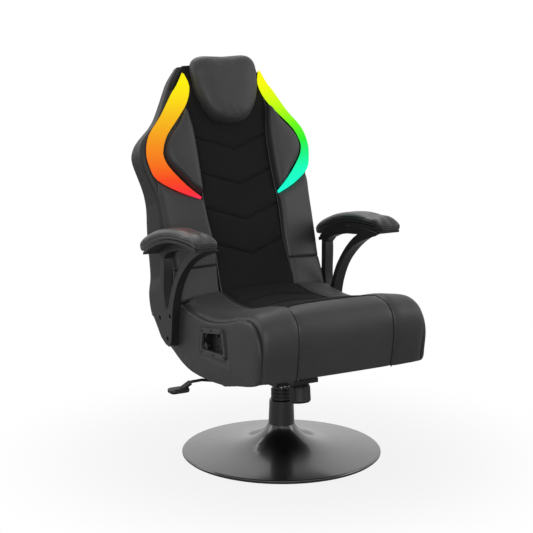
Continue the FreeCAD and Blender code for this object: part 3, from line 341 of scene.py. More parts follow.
def panel_rows(start, end, tips):
    """Stations up a panel with sewn V lines: place, share of the V, distance to a line."""
    places = set()
    for tip in tips:
        places.update(tip + step for step in GROOVE_STEPS)
    stops = [start] + tips + [end]
    for a, b in zip(stops, stops[1:]):
        low = a + (GROOVE_CLEAR if a in tips else 0)
        high = b - (GROOVE_CLEAR if b in tips else 0)
        count = max(1, round((high - low) / PANEL_PITCH))
        places.update(low + (high - low) * k / count for k in range(count + 1))
    rows = []
    for place in sorted(places):
        if place < tips[0]:
            share = (place - start) / (tips[0] - start)
        elif place > tips[-1]:
            share = (end - place) / (end - tips[-1])
        else:
            share = 1.0
        rows.append((place, share, min(abs(place - tip) for tip in tips)))
    return rows


def across_panel():
    """Stations across a panel as shares of its half width, close at seams and middle."""
    side = [0.0, 0.012, 0.03]
    while side[-1] < 0.9:
        side.append(side[-1] + 0.045)
    side += [0.94, 0.965, 0.985, 1.0]
    return [-u for u in side[:0:-1]] + side


def groove_depth(distance):
    """How far a sewn line draws the fabric in."""
    return GROOVE_DEPTH * max(0.0, 1 - distance / GROOVE_REACH) ** 1.7


def lip_drop(distance):
    """Rolled lips beside a sewn line stand out, so this is less than 0."""
    return -LIP_LIFT * max(0.0, 1 - distance / LIP_REACH) ** 2


class Value:
    """A node's output that can stand in a sum."""

    def __init__(self, finish, socket):
        self.finish = finish
        self.socket = socket

    def math(self, operation, *terms):
        return self.finish.node("ShaderNodeMath", {"operation": operation}, dict(enumerate(terms)))

    def __add__(self, other):
        return self.math("ADD", self, other)

    def __sub__(self, other):
        return self.math("SUBTRACT", self, other)

    def __rsub__(self, other):
        return self.math("SUBTRACT", other, self)

    def __mul__(self, other):
        return self.math("MULTIPLY", self, other)

    def __truediv__(self, other):
        return self.math("DIVIDE", self, other)

    def __pow__(self, other):
        return self.math("POWER", self, other)

    __radd__ = __add__
    __rmul__ = __mul__

    def sine(self):
        return self.math("SINE", self)

    def size(self):
        return self.math("ABSOLUTE", self)

    def least(self, other):
        return self.math("MINIMUM", self, other)

    def eased(self, low, high):
        """0 below low, 1 above high and smooth between."""
        return self.finish.node("ShaderNodeMapRange", {"interpolation_type": "SMOOTHSTEP"},
                                {"Value": self, "From Min": low, "From Max": high})


class Finish:
    """A material and the nodes that are added to it."""

    def __init__(self, name):
        self.material = bpy.data.materials.new(name)
        self.material.use_nodes = True
        self.tree = self.material.node_tree
        self.shader = self.tree.nodes["Principled BSDF"]

    def node(self, kind, settings=None, sockets=None, out=0):
        node = self.tree.nodes.new(kind)
        for name, value in (settings or {}).items():
            if name == "stops":
                set_stops(node.color_ramp, value)
            else:
                setattr(node, name, value)
        for key, value in (sockets or {}).items():
            self.feed(node.inputs[key], value)
        return Value(self, node.outputs[out])

    def feed(self, socket, value):
        if isinstance(value, Value):
            self.tree.links.new(value.socket, socket)
        else:
            socket.default_value = value

    def set(self, **values):
        """Set or link the shader's own sockets, named with _ for a space."""
        for name, value in values.items():
            self.feed(self.shader.inputs[name.replace("_", " ")], value)

    def place(self, turn=(0, 0, 0), scale=(1, 1, 1)):
        here = self.node("ShaderNodeTexCoord", out="Object")
        return self.node("ShaderNodeMapping", {}, {"Vector": here, "Rotation": turn, "Scale": scale})

    def noise(self, scale, detail=3.0, rough=0.5, stretch=(1, 1, 1)):
        place = self.place(scale=stretch)
        return self.node("ShaderNodeTexNoise", {},
                         {"Vector": place, "Scale": scale, "Detail": detail, "Roughness": rough})

    def cells(self, scale, feature="F1", place=None):
        place = place or self.place()
        return self.node("ShaderNodeTexVoronoi", {"feature": feature}, {"Vector": place, "Scale": scale})

    def tint(self, mask, dark, light):
        """Colour between two tones by a mask."""
        return self.node("ShaderNodeMix", {"data_type": "RGBA"},
                         {0: mask, 6: (*dark, 1), 7: (*light, 1)}, out=2)

    def blend(self, mask, one, two):
        return self.node("ShaderNodeMix", {"data_type": "RGBA"}, {0: mask, 6: one, 7: two}, out=2)

    def bumped(self, height, depth, strength=1.0, under=None):
        """Normal after a relief that is depth millimetres high."""
        sockets = {"Height": height, "Distance": depth * MM, "Strength": strength}
        if under:
            sockets["Normal"] = under
        return self.node("ShaderNodeBump", {}, sockets)

    def rounded_edges(self, radius):
        return self.node("ShaderNodeBevel", {"samples": 6}, {"Radius": radius * MM})

    def edge_mask(self, radius):
        """1 on sharp edges and 0 on flat faces."""
        turned = self.rounded_edges(radius)
        flat = self.node("ShaderNodeNewGeometry", out="Normal")
        likeness = self.node("ShaderNodeVectorMath", {"operation": "DOT_PRODUCT"},
                             {0: turned, 1: flat}, out="Value")
        return (1 - likeness).eased(0.01, 0.2)


def set_stops(ramp, stops):
    while len(ramp.elements) < len(stops):
        ramp.elements.new(0.5)
    for element, (position, colour) in zip(ramp.elements, stops):
        element.position = position
        element.color = (*colour, 1) if len(colour) == 3 else colour


def tone(red, green=None, blue=None):
    """Colour written as on a screen, 0 to 255, as the light it stands for."""
    values = (red, green, blue) if green is not None else (red, red, red)
    out = []
    for value in values:
        c = value / 255
        out.append(c / 12.92 if c <= 0.04045 else ((c + 0.055) / 1.055) ** 2.4)
    return tuple(out)


# Finishes

SEAM_BLACK = (0.003, 0.003, 0.003, 1)
VINYL_TONES = tone(38), tone(52)
CLOTH_TONES = tone(16), tone(30)


def vinyl_relief(finish):
    """Pebbled skin over soft waves in the foam."""
    waves = finish.noise(9, 2, 0.5)
    soft = finish.bumped(waves, 3.0, 0.35)
    creases = finish.noise(70, 3, 0.6, stretch=(1, 1, 1.7))
    soft = finish.bumped(creases, 0.5, 0.3, soft)
    pebbles = finish.cells(620, "DISTANCE_TO_EDGE").least(0.22)
    return finish.bumped(pebbles, 0.5, 0.32, soft), waves, pebbles


def vinyl_mask(patches, pebbles):
    """Vinyl is lighter in broad patches and on top of its pebbles."""
    return (patches * 0.7 + pebbles * 1.3).eased(0.25, 0.72)


def cloth_mask(weave, cloud):
    """Black cloth is lighter on its threads and in broad patches."""
    return (weave * 0.5 + cloud * 0.5).eased(0.15, 0.85)


def seam_line(finish):
    """1 along a sewn seam that is marked on the skin, 0 away from it."""
    distance = finish.node("ShaderNodeAttribute", {"attribute_name": "seam_mm"}, out="Fac")
    return 1 - distance.size().eased(0.4, 2.0)


def make_vinyl(name, dark, light, roughness=0.5, seamed=False):
    finish = Finish(name)
    normal, waves, pebbles = vinyl_relief(finish)
    patches = finish.noise(5, 4, 0.6)
    colour = finish.tint(vinyl_mask(patches, pebbles), dark, light)
    if seamed:
        line = seam_line(finish)
        colour = finish.blend(line, colour, SEAM_BLACK)
        normal = finish.bumped(1 - line, 1.5, 0.8, normal)
    finish.set(Base_Color=colour, Normal=normal, Roughness=roughness - 0.08 + patches * 0.16)
    finish.set(Specular_IOR_Level=0.42, Sheen_Weight=0.05, Sheen_Roughness=0.5)
    return finish.material


def weave_height(finish, place, pitch):
    """Knitted mesh: a honeycomb of small dimples."""
    parts = finish.node("ShaderNodeSeparateXYZ", {}, {0: place})
    x = parts
    y = Value(finish, parts.socket.node.outputs["Y"])
    k = 2 * math.pi / pitch
    one = (x * k).math("COSINE", x * k)
    half = x * (k / 2)
    up = y * (k * math.sqrt(3) / 2)
    two = (half + up).math("COSINE", half + up)
    three = (half - up).math("COSINE", half - up)
    return (one + two + three) * (1 / 3)


def make_mesh_fabric(name, turn, dark, light):
    """Sports mesh for the centre panels, its weave laid along the panel."""
    finish = Finish(name)
    place = finish.place(turn=turn)
    weave = weave_height(finish, place, 2.6 * MM)
    fuzz = finish.noise(1400, 2, 0.6)
    cloud = finish.noise(14, 4, 0.6)
    mask = (weave * 0.4 + fuzz * 0.35 + cloud * 0.5).eased(0.1, 0.9)
    soft = finish.bumped(finish.noise(30, 2), 1.2, 0.25)
    normal = finish.bumped(weave * 0.8 + fuzz * 0.2, 0.6, 0.5, soft)
    finish.set(Base_Color=finish.tint(mask, dark, light), Roughness=0.86 + cloud * 0.12, Normal=normal)
    finish.set(Specular_IOR_Level=0.2)
    return finish.material


def make_backing_fabric(name, dark, light):
    """Plain woven backing: threads over and under in two directions."""
    finish = Finish(name)
    weave = woven(finish, 1.6)
    cloud = finish.noise(9, 4, 0.6)
    mask = cloth_mask(weave, cloud)
    soft = finish.bumped(finish.noise(16, 3), 2.0, 0.35)
    finish.set(Base_Color=finish.tint(mask, dark, light), Roughness=0.8 + cloud * 0.15,
               Normal=finish.bumped(weave, 0.4, 0.55, soft))
    finish.set(Specular_IOR_Level=0.2, Sheen_Weight=0.1, Sheen_Roughness=0.4)
    return finish.material


def woven(finish, pitch):
    place = finish.place()
    parts = finish.node("ShaderNodeSeparateXYZ", {}, {0: place})
    node = parts.socket.node
    x, y, z = (Value(finish, node.outputs[axis]) for axis in "XYZ")
    k = math.pi / (pitch * MM)
    along = ((z + y * 0.3) * k).sine()
    across = ((x + y) * k).sine()
    return (along * across) * 0.5 + 0.5


def make_moulded(name, dark, light, roughness, grain=700.0, depth=0.12, edge=1.6, edge_highlight_share=0.5):
    """Moulded plastic: fine spark grain, rounded edges, and a painted highlight that makes the edges a
    little lighter, broken up like wear.
    """
    finish = Finish(name)
    under = finish.rounded_edges(edge)
    fine = finish.noise(grain, 3, 0.6)
    cloud = finish.noise(12, 4, 0.6)
    # Painted highlight: the edges are painted lighter, where light would catch them, broken up by noise like
    # wear.
    edge_highlight = finish.edge_mask(edge) * finish.noise(120, 3, 0.7) * edge_highlight_share
    mask = (cloud * 0.35 + fine * 0.25 + edge_highlight).eased(0.1, 1.0)
    finish.set(Base_Color=finish.tint(mask, dark, light), Normal=finish.bumped(fine, depth, 0.6, under),
               Roughness=roughness - 0.05 + cloud * 0.12 - edge_highlight * 0.1)
    finish.set(Specular_IOR_Level=0.5)
    return finish.material


def make_coated(name, dark, light, roughness, edge=1.0, gloss=0.0):
    """Powder coated steel: orange peel, dust in broad random patches, and a painted highlight that makes the
    edges lighter, broken up like rubbed wear.
    """
    finish = Finish(name)
    under = finish.rounded_edges(edge)
    peel = finish.cells(420, "SMOOTH_F1")
    dust = finish.noise(20, 5, 0.65)
    # Painted highlight: the edges are painted lighter, where light would catch them, broken up by noise like
    # rubbed wear.
    edge_highlight = finish.edge_mask(edge) * finish.noise(90, 3, 0.7)
    mask = (dust * 0.5 + edge_highlight * 0.6).eased(0.15, 0.95)
    finish.set(Base_Color=finish.tint(mask, dark, light), Normal=finish.bumped(peel, 0.06, 0.35, under),
               Roughness=roughness - 0.06 + dust * 0.14)
    finish.set(Specular_IOR_Level=0.5, Coat_Weight=gloss, Coat_Roughness=0.12)
    return finish.material


def make_metal(name, colour, roughness, turned=0.0):
    """Bare metal with fine turned or polished lines round its axis."""
    finish = Finish(name)
    parts = finish.node("ShaderNodeSeparateXYZ", {}, {0: finish.place()})
    z = Value(finish, parts.socket.node.outputs["Z"])
    lines = (z * 9000).sine() * 0.5 + 0.5
    smear = finish.noise(60, 4, 0.6, stretch=(1, 1, 4))
    dark = tuple(c * 0.86 for c in colour)
    finish.set(Base_Color=finish.tint(smear, dark, colour), Metallic=1.0,
               Roughness=roughness * 0.8 + smear * roughness * 0.5,
               Normal=finish.bumped(lines * turned + smear * 0.3, 0.03, 0.4, finish.rounded_edges(0.6)))
    return finish.material


def make_light_strip(name, stops):
    """Lit diffuser whose colour runs down the strip."""
    finish = Finish(name)
    parts = finish.node("ShaderNodeSeparateXYZ", {}, {0: finish.place()})
    z = Value(finish, parts.socket.node.outputs["Z"])
    height = (z - STRIP_LOW * MM) / ((STRIP_HIGH - STRIP_LOW) * MM)
    colour = finish.node("ShaderNodeValToRGB", {"stops": stops}, {0: height})
    ripple = finish.noise(300, 2, 0.5)
    dim = finish.tint(ripple, (0.004, 0.004, 0.004), (0.02, 0.02, 0.02))
    finish.set(Base_Color=dim, Emission_Color=colour, Roughness=0.5 + ripple * 0.1,
               Normal=finish.bumped(ripple, 0.05, 0.2))
    finish.set(Emission_Strength=1.0, Specular_IOR_Level=0.0)
    return finish.material


STRIP_LOW = 690.0
STRIP_HIGH = 1006.0
WARM_STOPS = [(0.0, tone(255, 50, 84)), (0.06, tone(252, 48, 52)), (0.17, tone(250, 72, 28)),
              (0.3, tone(248, 112, 24)), (0.5, tone(246, 150, 24)), (0.72, tone(248, 192, 22)),
              (0.9, tone(253, 228, 10)), (1.0, tone(255, 240, 0))]
COOL_STOPS = [(0.0, tone(22, 255, 214)), (0.2, tone(22, 255, 190)), (0.33, tone(24, 245, 130)),
              (0.46, tone(40, 245, 40)), (0.6, tone(110, 250, 20)), (0.76, tone(190, 254, 10)),
              (0.9, tone(235, 252, 4)), (1.0, tone(255, 250, 0))]


def make_wood(name):
    finish = Finish(name)
    rings = finish.noise(30, 5, 0.6, stretch=(1, 12, 12))
    grain = finish.tint(rings, tone(150, 116, 78), tone(196, 164, 120))
    finish.set(Base_Color=grain, Roughness=0.6 + rings * 0.2, Normal=finish.bumped(rings, 0.3, 0.4))
    return finish.material


def make_circuit(name):
    finish = Finish(name)
    tracks = finish.cells(260, "DISTANCE_TO_EDGE", finish.place(scale=(0.3, 1, 1))).eased(0.02, 0.08)
    green = finish.tint(tracks, tone(70, 120, 70), tone(16, 62, 34))
    finish.set(Base_Color=green, Roughness=0.35 + tracks * 0.1, Normal=finish.bumped(tracks, 0.1, 0.4))
    return finish.material


VINYL = make_vinyl("grey_vinyl", *VINYL_TONES)
PILLOW_VINYL = make_vinyl("pillow_vinyl", tone(42), tone(56), 0.5, seamed=True)
PIPING = make_vinyl("piping_vinyl", tone(38), tone(50), 0.4)
PAD_SKIN = make_vinyl("arm_pad_skin", tone(34), tone(46), 0.4, seamed=True)
BACK_MESH = make_mesh_fabric("back_mesh", (BACK_LEAN + math.radians(90), 0, 0), tone(21), tone(38))
# The seat's copy of the mesh fabric is darker than the back's copy: painted shade, as the seat's top lies in
# the shade of the backrest and arms.
SEAT_MESH_SHADED = make_mesh_fabric("seat_mesh_painted_shade", (0, 0, 0), tone(16), tone(31))
BACKING = make_backing_fabric("backing_fabric", *CLOTH_TONES)
ARM_PLASTIC = make_moulded("arm_plastic", tone(32), tone(54), 0.4)
COLLAR_PLASTIC = make_moulded("collar_plastic", tone(22), tone(42), 0.45)
KNOB_PLASTIC = make_moulded("knob_plastic", tone(18), tone(38), 0.42, edge=1.2)
BEZEL_PLASTIC = make_moulded("bezel_plastic", tone(50), tone(88), 0.5, grain=420, depth=0.5, edge=1.2)
TRAY_PLASTIC = make_moulded("tray_plastic", tone(14), tone(30), 0.4, edge=0.8)
BUSH_PLASTIC = make_moulded("bush_plastic", tone(170), tone(196), 0.5, edge=0.5)
BASE_COAT = make_coated("base_coat", tone(10), tone(20), 0.3, gloss=0.7)
MECHANISM_COAT = make_coated("mechanism_coat", tone(16), tone(32), 0.36)
LEVER_COAT = make_coated("lever_coat", tone(14), tone(30), 0.25)
BOLT_COAT = make_coated("bolt_coat", tone(16), tone(34), 0.38, 0.5)
CHROME = make_metal("column_chrome", (0.78, 0.79, 0.8), 0.1)
STEEL = make_metal("turned_steel", (0.52, 0.52, 0.54), 0.3, 0.7)
RUBBER = make_moulded("floor_rubber", tone(14), tone(30), 0.8, grain=300, depth=0.3, edge=0.8)
PLYWOOD = make_wood("plywood")
CIRCUIT = make_circuit("circuit_board")
WARM_LIGHT = make_light_strip("warm_light", WARM_STOPS)
COOL_LIGHT = make_light_strip("cool_light", COOL_STOPS)


# Centre panels with sewn V lines

def seat_panel_point(u, place, share, distance):
    y = -(place + share * V_RISE * abs(u))
    drop = at(EDGE_DROP, abs(u)) + groove_depth(distance) + lip_drop(distance)
    return Vector((u * (seam_x(y) - SEAM_GAP), y, at(SEAT_TOP, y) - drop)) * MM


def seat_center():
    rows = panel_rows(-CUSHION_REAR_Y, -CREST_Y - SEAM_GAP, SEAT_TIPS)
    front = [[seat_panel_point(u, *row) for u in across_panel()] for row in rows]
    piece = closed_skin("seat_center_cushion", front, lambda p, row: Vector((p.x, p.y, CUSHION_FOOT_Z * MM)))
    puffed(piece, sewn_down(front, rows), 3, 4)
    subdivided(piece)
    # Its finish is the darker copy of the mesh fabric, with painted shade.
    dressed(piece, SEAT_MESH_SHADED)
    return on_seat(piece, ["seat_center_panel"])


def sewn_down(front, rows):
    """Held test for a panel: its V lines, its rim and all that lies behind."""
    cols = len(front[0])
    count = len(front) * cols

    def held(v):
        row, col = divmod(v.index, cols)
        return v.index >= count or rows[row][2] < 1.0 or row in (0, len(front) - 1) or col in (0, cols - 1)
    return held


def back_panel_point(u, place, share, distance):
    s = place + share * V_RISE * abs(u)
    edge = max(0.0, abs(u) - 0.93) / 0.07
    y = at(PANEL_FRONT, s) + 4 * u * u + 4.5 * edge * edge
    y += groove_depth(distance) + lip_drop(distance) - 0.5
    return on_back(u * (at(PANEL_HALF, s) - SEAM_GAP), y, s)


def behind_pad(point, row):
    """Place behind a point of a back pad's front, close to the cover."""
    x, y, s = back_frame_of(point)
    return on_back(x, PAD_REAR - COVER_GAP, s)


def back_center():
    rows = panel_rows(0.0, BACK_TOP - 4, BACK_TIPS)
    front = [[back_panel_point(u, *row) for u in across_panel()] for row in rows]
    piece = closed_skin("back_center_cushion", front, behind_pad)
    puffed(piece, sewn_down(front, rows), 3, 4)
    subdivided(piece)
    dressed(piece, BACK_MESH)
    return on_seat(piece, ["back_center_panel"])


def nose_tables():
    """The roll's side view against its length, so that a point is found by distance."""
    lengths = [0.0]
    for (y0, z0), (y1, z1) in zip(SEAT_NOSE, SEAT_NOSE[1:]):
        lengths.append(lengths[-1] + math.hypot(y1 - y0, z1 - z0))
    tables = [list(zip(lengths, column)) for column in
              ([y for y, z in SEAT_NOSE], [z for y, z in SEAT_NOSE], NOSE_BACK, NOSE_DOWN)]
    return lengths[-1], tables


def nose_point(u, run, tables):
    drop = at(EDGE_DROP, abs(u))
    y, z, back, down = (at(table, run) for table in tables)
    y += back * drop
    return Vector((u * (seam_x(y) - SEAM_GAP), y, z - down * drop)) * MM


ROLL_ROWS = 44
ROLL_ROW_AT_CORE = 14


def front_roll():
    length, tables = nose_tables()
    runs = [SEAM_GAP] + [length * k / ROLL_ROWS for k in range(1, ROLL_ROWS + 1)]
    front = [[nose_point(u, run, tables) for u in across_panel()] for run in runs]

    foot = SEAT_NOSE[-1][1]
    inner = [(0, CREST_Y - SEAM_GAP, CUSHION_FOOT_Z), (ROLL_ROW_AT_CORE, CORE_FRONT_Y, CUSHION_FOOT_Z),
             (ROLL_ROWS, CORE_FRONT_Y, foot)]

    def rear(point, row):
        y = at([(k, y) for k, y, z in inner], row)
        z = at([(k, z) for k, y, z in inner], row)
        return Vector((point.x, y * MM, z * MM))

    piece = closed_skin("seat_front_roll_skin", front, rear)
    puffed(piece, sewn_down(front, [(0, 0, 9)] * len(front)), 2, 4)
    subdivided(piece)
    dressed(piece, VINYL)
    return on_seat(piece, ["seat_front_roll"])


# Padded pieces that start from their CAD solid

def sewn_pad(node, name, size, held, pressure, cap, soften=2):
    piece = remeshed(copy_of(node, name), size)
    smoothed(piece, soften)
    puffed(piece, held, pressure, cap)
    return piece


def flank(v):
    """True where a skin stands upright, facing a neighbour to the left or right."""
    return abs(v.normal.x) > 0.8


BOLSTER_STILL_BELOW = 0.345
BOLSTER_STILL_BEHIND = 0.118


def bolster_held(v):
    return flank(v) or v.co.z < BOLSTER_STILL_BELOW or v.co.y > BOLSTER_STILL_BEHIND


def seat_bolsters():
    left = sewn_pad("seat_bolster_left", "seat_bolster_skin_left", 5, bolster_held, 3, 6)
    right = mirrored(left, "seat_bolster_skin_right")
    dent_for_tray(right)
    for piece, node in ((left, "seat_bolster_left"), (right, "seat_bolster_right")):
        subdivided(piece)
        dressed(piece, VINYL)
        on_seat(piece, [node])


def dent_for_tray(piece):
    """Press the foam in behind the control tray, below the bezel's sloping top."""
    low_y, high_y = -156 * MM, -2 * MM
    low_z = 312 * MM
    skin_x, pressed_x = -0.205, -0.212
    top_slope = 0.165
    for v in piece.data.vertices:
        high_z = 386 * MM - (v.co.y + 0.011) * top_slope
        if low_y < v.co.y < high_y and low_z < v.co.z < high_z and v.co.x < skin_x:
            v.co.x = max(v.co.x, pressed_x)


SIDE_INNER_X = 0.2435
SIDE_TAPER = 0.0227


def side_held(v):
    """True on a side panel's inner face and round its rim."""
    return v.co.x < SIDE_INNER_X - (v.co.y + 0.3) * SIDE_TAPER or abs(v.normal.x) < 0.6


def seat_sides():
    left = sewn_pad("seat_side_panel_left", "seat_side_skin_left", 4, side_held, 2, 5, 3)
    right = mirrored(left, "seat_side_skin_right")
    flat_round_bezel(right)
    cut_opening(right)
    for piece, node in ((left, "seat_side_panel_left"), (right, "seat_side_panel_right")):
        subdivided(piece)
        dressed(piece, VINYL)
        on_seat(piece, [node])


def flat_round_bezel(piece):
    """Press the side's skin flat where the bezel lies on it, easing out round it."""
    low_y, high_y, low_z, high_z = -152, -5, 314, 408
    for v in piece.data.vertices:
        y, z = v.co.y / MM, v.co.z / MM
        away = math.hypot(max(low_y - y, y - high_y, 0), max(low_z - z, z - high_z, 0))
        v.co.x = max(v.co.x, on_right_side(0.2 + 0.2 * away, y, z).x)


def cut_opening(piece):
    """Open the right side panel for the control tray."""
    middle_y = sum(y for y, z in BEZEL) / 4
    middle_z = sum(z for y, z in BEZEL) / 4
    rim = [(middle_y + (y - middle_y) * 0.9, middle_z + (z - middle_z) * 0.86) for y, z in BEZEL]
    points = [on_right_side(out, y, z) for out in (-30, 30) for y, z in rim]
    faces = [(0, 1, 2, 3), (4, 7, 6, 5), (0, 4, 5, 1), (1, 5, 6, 2), (2, 6, 7, 3), (3, 7, 4, 0)]
    cutter = facing_out(new_piece("opening_cutter", points, faces))
    modifier = piece.modifiers.new("opening", "BOOLEAN")
    modifier.object = cutter
    modifier.operation = "DIFFERENCE"
    modifier.solver = "EXACT"
    applied(piece, modifier)
    bpy.data.objects.remove(cutter)


def front_free(limit):
    """Held test for a back pad: only its front crown is free."""
    def held(v):
        return back_frame_of(v.co)[1] > limit
    return held


def dense(line, steps=4):
    """Line with extra points between its corners."""
    out = []
    for (x0, s0), (x1, s1) in zip(line, line[1:]):
        out += [(x0 + (x1 - x0) * k / steps, s0 + (s1 - s0) * k / steps) for k in range(steps)]
    return out + [line[-1]]


def pad_held(limit, slope):
    """Held test for a back pad: its crown is free, but not beside the light band."""
    band = dense(BAND_IN) + dense(BAND_OUT)

    def held(v):
        x, y, s = back_frame_of(v.co)
        if y > limit + slope * (abs(x) - PANEL_REAR_X) or abs(x) < PANEL_REAR_X + 4:
            return True
        return min(math.hypot(abs(x) - bx, s - bs) for bx, bs in band) < 14
    return held


def shoulder_pads():
    left = sewn_pad("back_shoulder_left", "shoulder_pad_left", 3.8, pad_held(2, 0), 3, 5, 3)
    subdivided(left)
    both_sides(left, "back_shoulder", "shoulder_pad")


def both_sides(left, stem, name):
    """Dress a left back pad, and set its mirror image on the right."""
    right = mirrored(left, name + "_right")
    shaded_smooth(right)
    for piece, side in ((left, "_left"), (right, "_right")):
        dressed(piece, VINYL)
        on_seat(piece, [stem + side])


PAD_EDGE = [(0, 240), (56, 239), (88, 235), (104, 234), (150, 236), (215, 238), (280, 239), (320, 241),
            (350, 238)]
WING_TOP = [(110, 279), (126, 283), (155, 294), (185, 308), (215, 327), (243, 349)]
PAD_SEAM = 94.5
PAD_FRONT = -2.5
PAD_LIFT = 15.0
SEAM_ROUND = 7
WING_TOP_ROUND = 30
HIP_FOOT_ROUND = 16
INNER_ROUND = 16
OUTER_ROUND = 24


def swell(distance, reach):
    """Rise of a rounded edge, 0 at the edge and 1 from reach on."""
    t = min(max(distance / reach, 0.0), 1.0)
    return math.sqrt(1 - (1 - t) ** 2)


def edge_shares(count):
    """Shares from 0 to 1 that lie closer together at both ends."""
    return [0.5 - 0.5 * math.cos(math.pi * k / count) for k in range(count + 1)]


def end_lift(distance, rounding, seamed):
    """Share of a pad's lift near one end: a level seam draws it in part of the way."""
    if seamed:
        return 0.6 + 0.4 * swell(distance, SEAM_ROUND)
    return swell(distance, rounding)


def low_pad_point(u, v, low, high_table, seams):
    """Place on a lower back pad, and whether it stays still under pressure."""
    s = low + (at(high_table, 180) - low) * v
    for _ in range(3):
        inner = at(PANEL_HALF, s) + SEAM_GAP
        outer = at(PAD_EDGE, s)
        x = inner + u * (outer - inner)
        high = at(high_table, x)
        s = low + (high - low) * v
    y = PAD_FRONT + WING_SLOPE * (x - PANEL_REAR_X)
    lift = PAD_LIFT * swell(x - inner, INNER_ROUND) * swell(outer - x, OUTER_ROUND)
    lift *= end_lift(high - s, WING_TOP_ROUND, seams[1])
    lift *= end_lift(s - low, HIP_FOOT_ROUND, seams[0])
    still = min(x - inner, outer - x) < 16 or min(high - s, s - low) < 14
    return on_back(x, y - lift, s), still


def low_pad(stem, name, low, high_table, seams):
    """Pad beside the centre panel, sewn to the next one along a level seam."""
    front, still = [], []
    for v in edge_shares(40):
        row = [low_pad_point(u, v, low, high_table, seams) for u in edge_shares(30)]
        front.append([place for place, held in row])
        still += [held for place, held in row]
    piece = closed_skin(name + "_left", front, behind_pad)
    puffed(piece, lambda v: v.index >= len(still) or still[v.index], 2, 4)
    subdivided(piece)
    both_sides(piece, stem, name)


def back_pads():
    shoulder_pads()
    low_pad("back_lower_wing", "lower_wing_pad", PAD_SEAM + 0.3, WING_TOP, (True, False))
    low_pad("back_lower_side", "hip_pad", 1.0, [(0, PAD_SEAM - 0.3), (300, PAD_SEAM - 0.3)], (False, True))


def pillow():
    piece = sewn_pad("headrest_pillow", "headrest_cushion", 4.5, front_free(-8), 4, 6, 4)
    subdivided(piece)
    marked(piece, "seam_mm", lambda p: back_frame_of(p)[1] + 13)
    dressed(piece, PILLOW_VINYL)
    return on_seat(piece, ["headrest_pillow"])


def marked(piece, name, measure):
    """Write a measure of each point's place on a skin, for its finish to read."""
    marks = piece.data.attributes.new(name, "FLOAT", "POINT")
    marks.data.foreach_set("value", [measure(v.co) for v in piece.data.vertices])


def cover_row(s):
    """Section of the shell's cover: side, rear corner, rear, and back round."""
    w = at(HALF_WIDTH, s)
    rear = at(REAR_DEPTH, s)
    front = PAD_REAR + COVER_GAP
    r = min(REAR_CORNER, (rear - front) * 0.45)
    half = [(-w, front + (rear - r - front) * k / 6) for k in range(7)]
    for k in range(1, 6):
        angle = math.radians(15 * k)
        half.append((-w + r - r * math.cos(angle), rear - r + r * math.sin(angle)))
    flat = [(-w + r + 2 * (w - r) * k / 30, rear) for k in range(31)]
    return half + flat + [(-x, y) for x, y in half[::-1]]


def rear_cover():
    heights = [0, 1, 3] + [8 * k for k in range(1, 84)] + [669, 671, BACK_TOP]
    rows = [[on_back(x, y, s) for x, y in cover_row(s)] for s in heights]
    cols = len(rows[0])
    points = [p for row in rows for p in row]
    faces = [list(range(cols)), list(range(len(points) - cols, len(points)))]
    for i in range(len(rows) - 1):
        for j in range(cols):
            a, b = i * cols + j, i * cols + (j + 1) % cols
            faces.append((a, b, b + cols, a + cols))
    piece = facing_out(new_piece("back_shell_cover", points, faces))
    puffed(piece, cover_held, 1.5, 5)
    subdivided(piece)
    marked(piece, "cloth_side", cloth_side)
    marked(piece, "seam_mm", cover_seam)
    dressed(piece, COVER)
    return on_seat(piece, ["back_rear_cover"])


def cover_held(v):
    """The cover is held at its rims and along the seams beside its rear corners."""
    x, y, s = back_frame_of(v.co)
    rear = at(REAR_DEPTH, s)
    return y < PAD_REAR + 6 or s < 6 or s > BACK_TOP - 8 or abs(y - (rear - REAR_CORNER)) < 1


CLOTH_TURN = 6
CORNER_FOOT = 604
CORNER_INSET = 7
CORNER_DEPTH = 5
SIDE_SEAM = 357.0


def cloth_side(place):
    """How far, in millimetres, a point lies on the black side of the cover's seams."""
    x, y, s = back_frame_of(place)
    rearward = y - (at(REAR_DEPTH, s) - CLOTH_TURN)
    top_corner = min(s - CORNER_FOOT, at(HALF_WIDTH, s) - CORNER_INSET - abs(x), PAD_REAR + CORNER_DEPTH - y)
    return max(rearward, top_corner)


def cover_seam(place):
    """Distance to the nearest seam of the cover."""
    x, y, s = back_frame_of(place)
    near = abs(cloth_side(place))
    if abs(x) > at(HALF_WIDTH, s) - 6 and s < 400:
        near = min(near, abs(s - SIDE_SEAM))
    return near


def make_cover():
    """Grey vinyl sides and black woven rear, with the seam between them."""
    finish = Finish("shell_cover")
    side = finish.node("ShaderNodeAttribute", {"attribute_name": "cloth_side"}, out="Fac")
    black = side.eased(-0.6, 0.6)
    normal, waves, pebbles = vinyl_relief(finish)
    patches = finish.noise(5, 4, 0.6)
    vinyl = finish.tint(vinyl_mask(patches, pebbles), *VINYL_TONES)
    weave = woven(finish, 1.6)
    cloth = finish.tint(cloth_mask(weave, patches), *CLOTH_TONES)
    cloth_normal = finish.bumped(weave, 0.4, 0.55)
    both = finish.node("ShaderNodeMix", {"data_type": "VECTOR"},
                       {0: black, 4: normal, 5: cloth_normal}, out=1)
    line = seam_line(finish)
    colour = finish.blend(line, finish.blend(black, vinyl, cloth), SEAM_BLACK)
    finish.set(Base_Color=colour, Roughness=0.46 + black * 0.36 + patches * 0.1,
               Normal=finish.bumped(1 - line, 1.5, 0.8, both))
    finish.set(Specular_IOR_Level=0.35)
    return finish.material


COVER = make_cover()


def strap():
    """Band over the top edge that holds the pillow."""
    piece = remeshed(copy_of("headrest_strap", "headrest_band"), 2.2)
    smoothed(piece, 3)
    shaded_smooth(piece)
    dressed(piece, VINYL)
    return on_seat(piece, ["headrest_strap"])


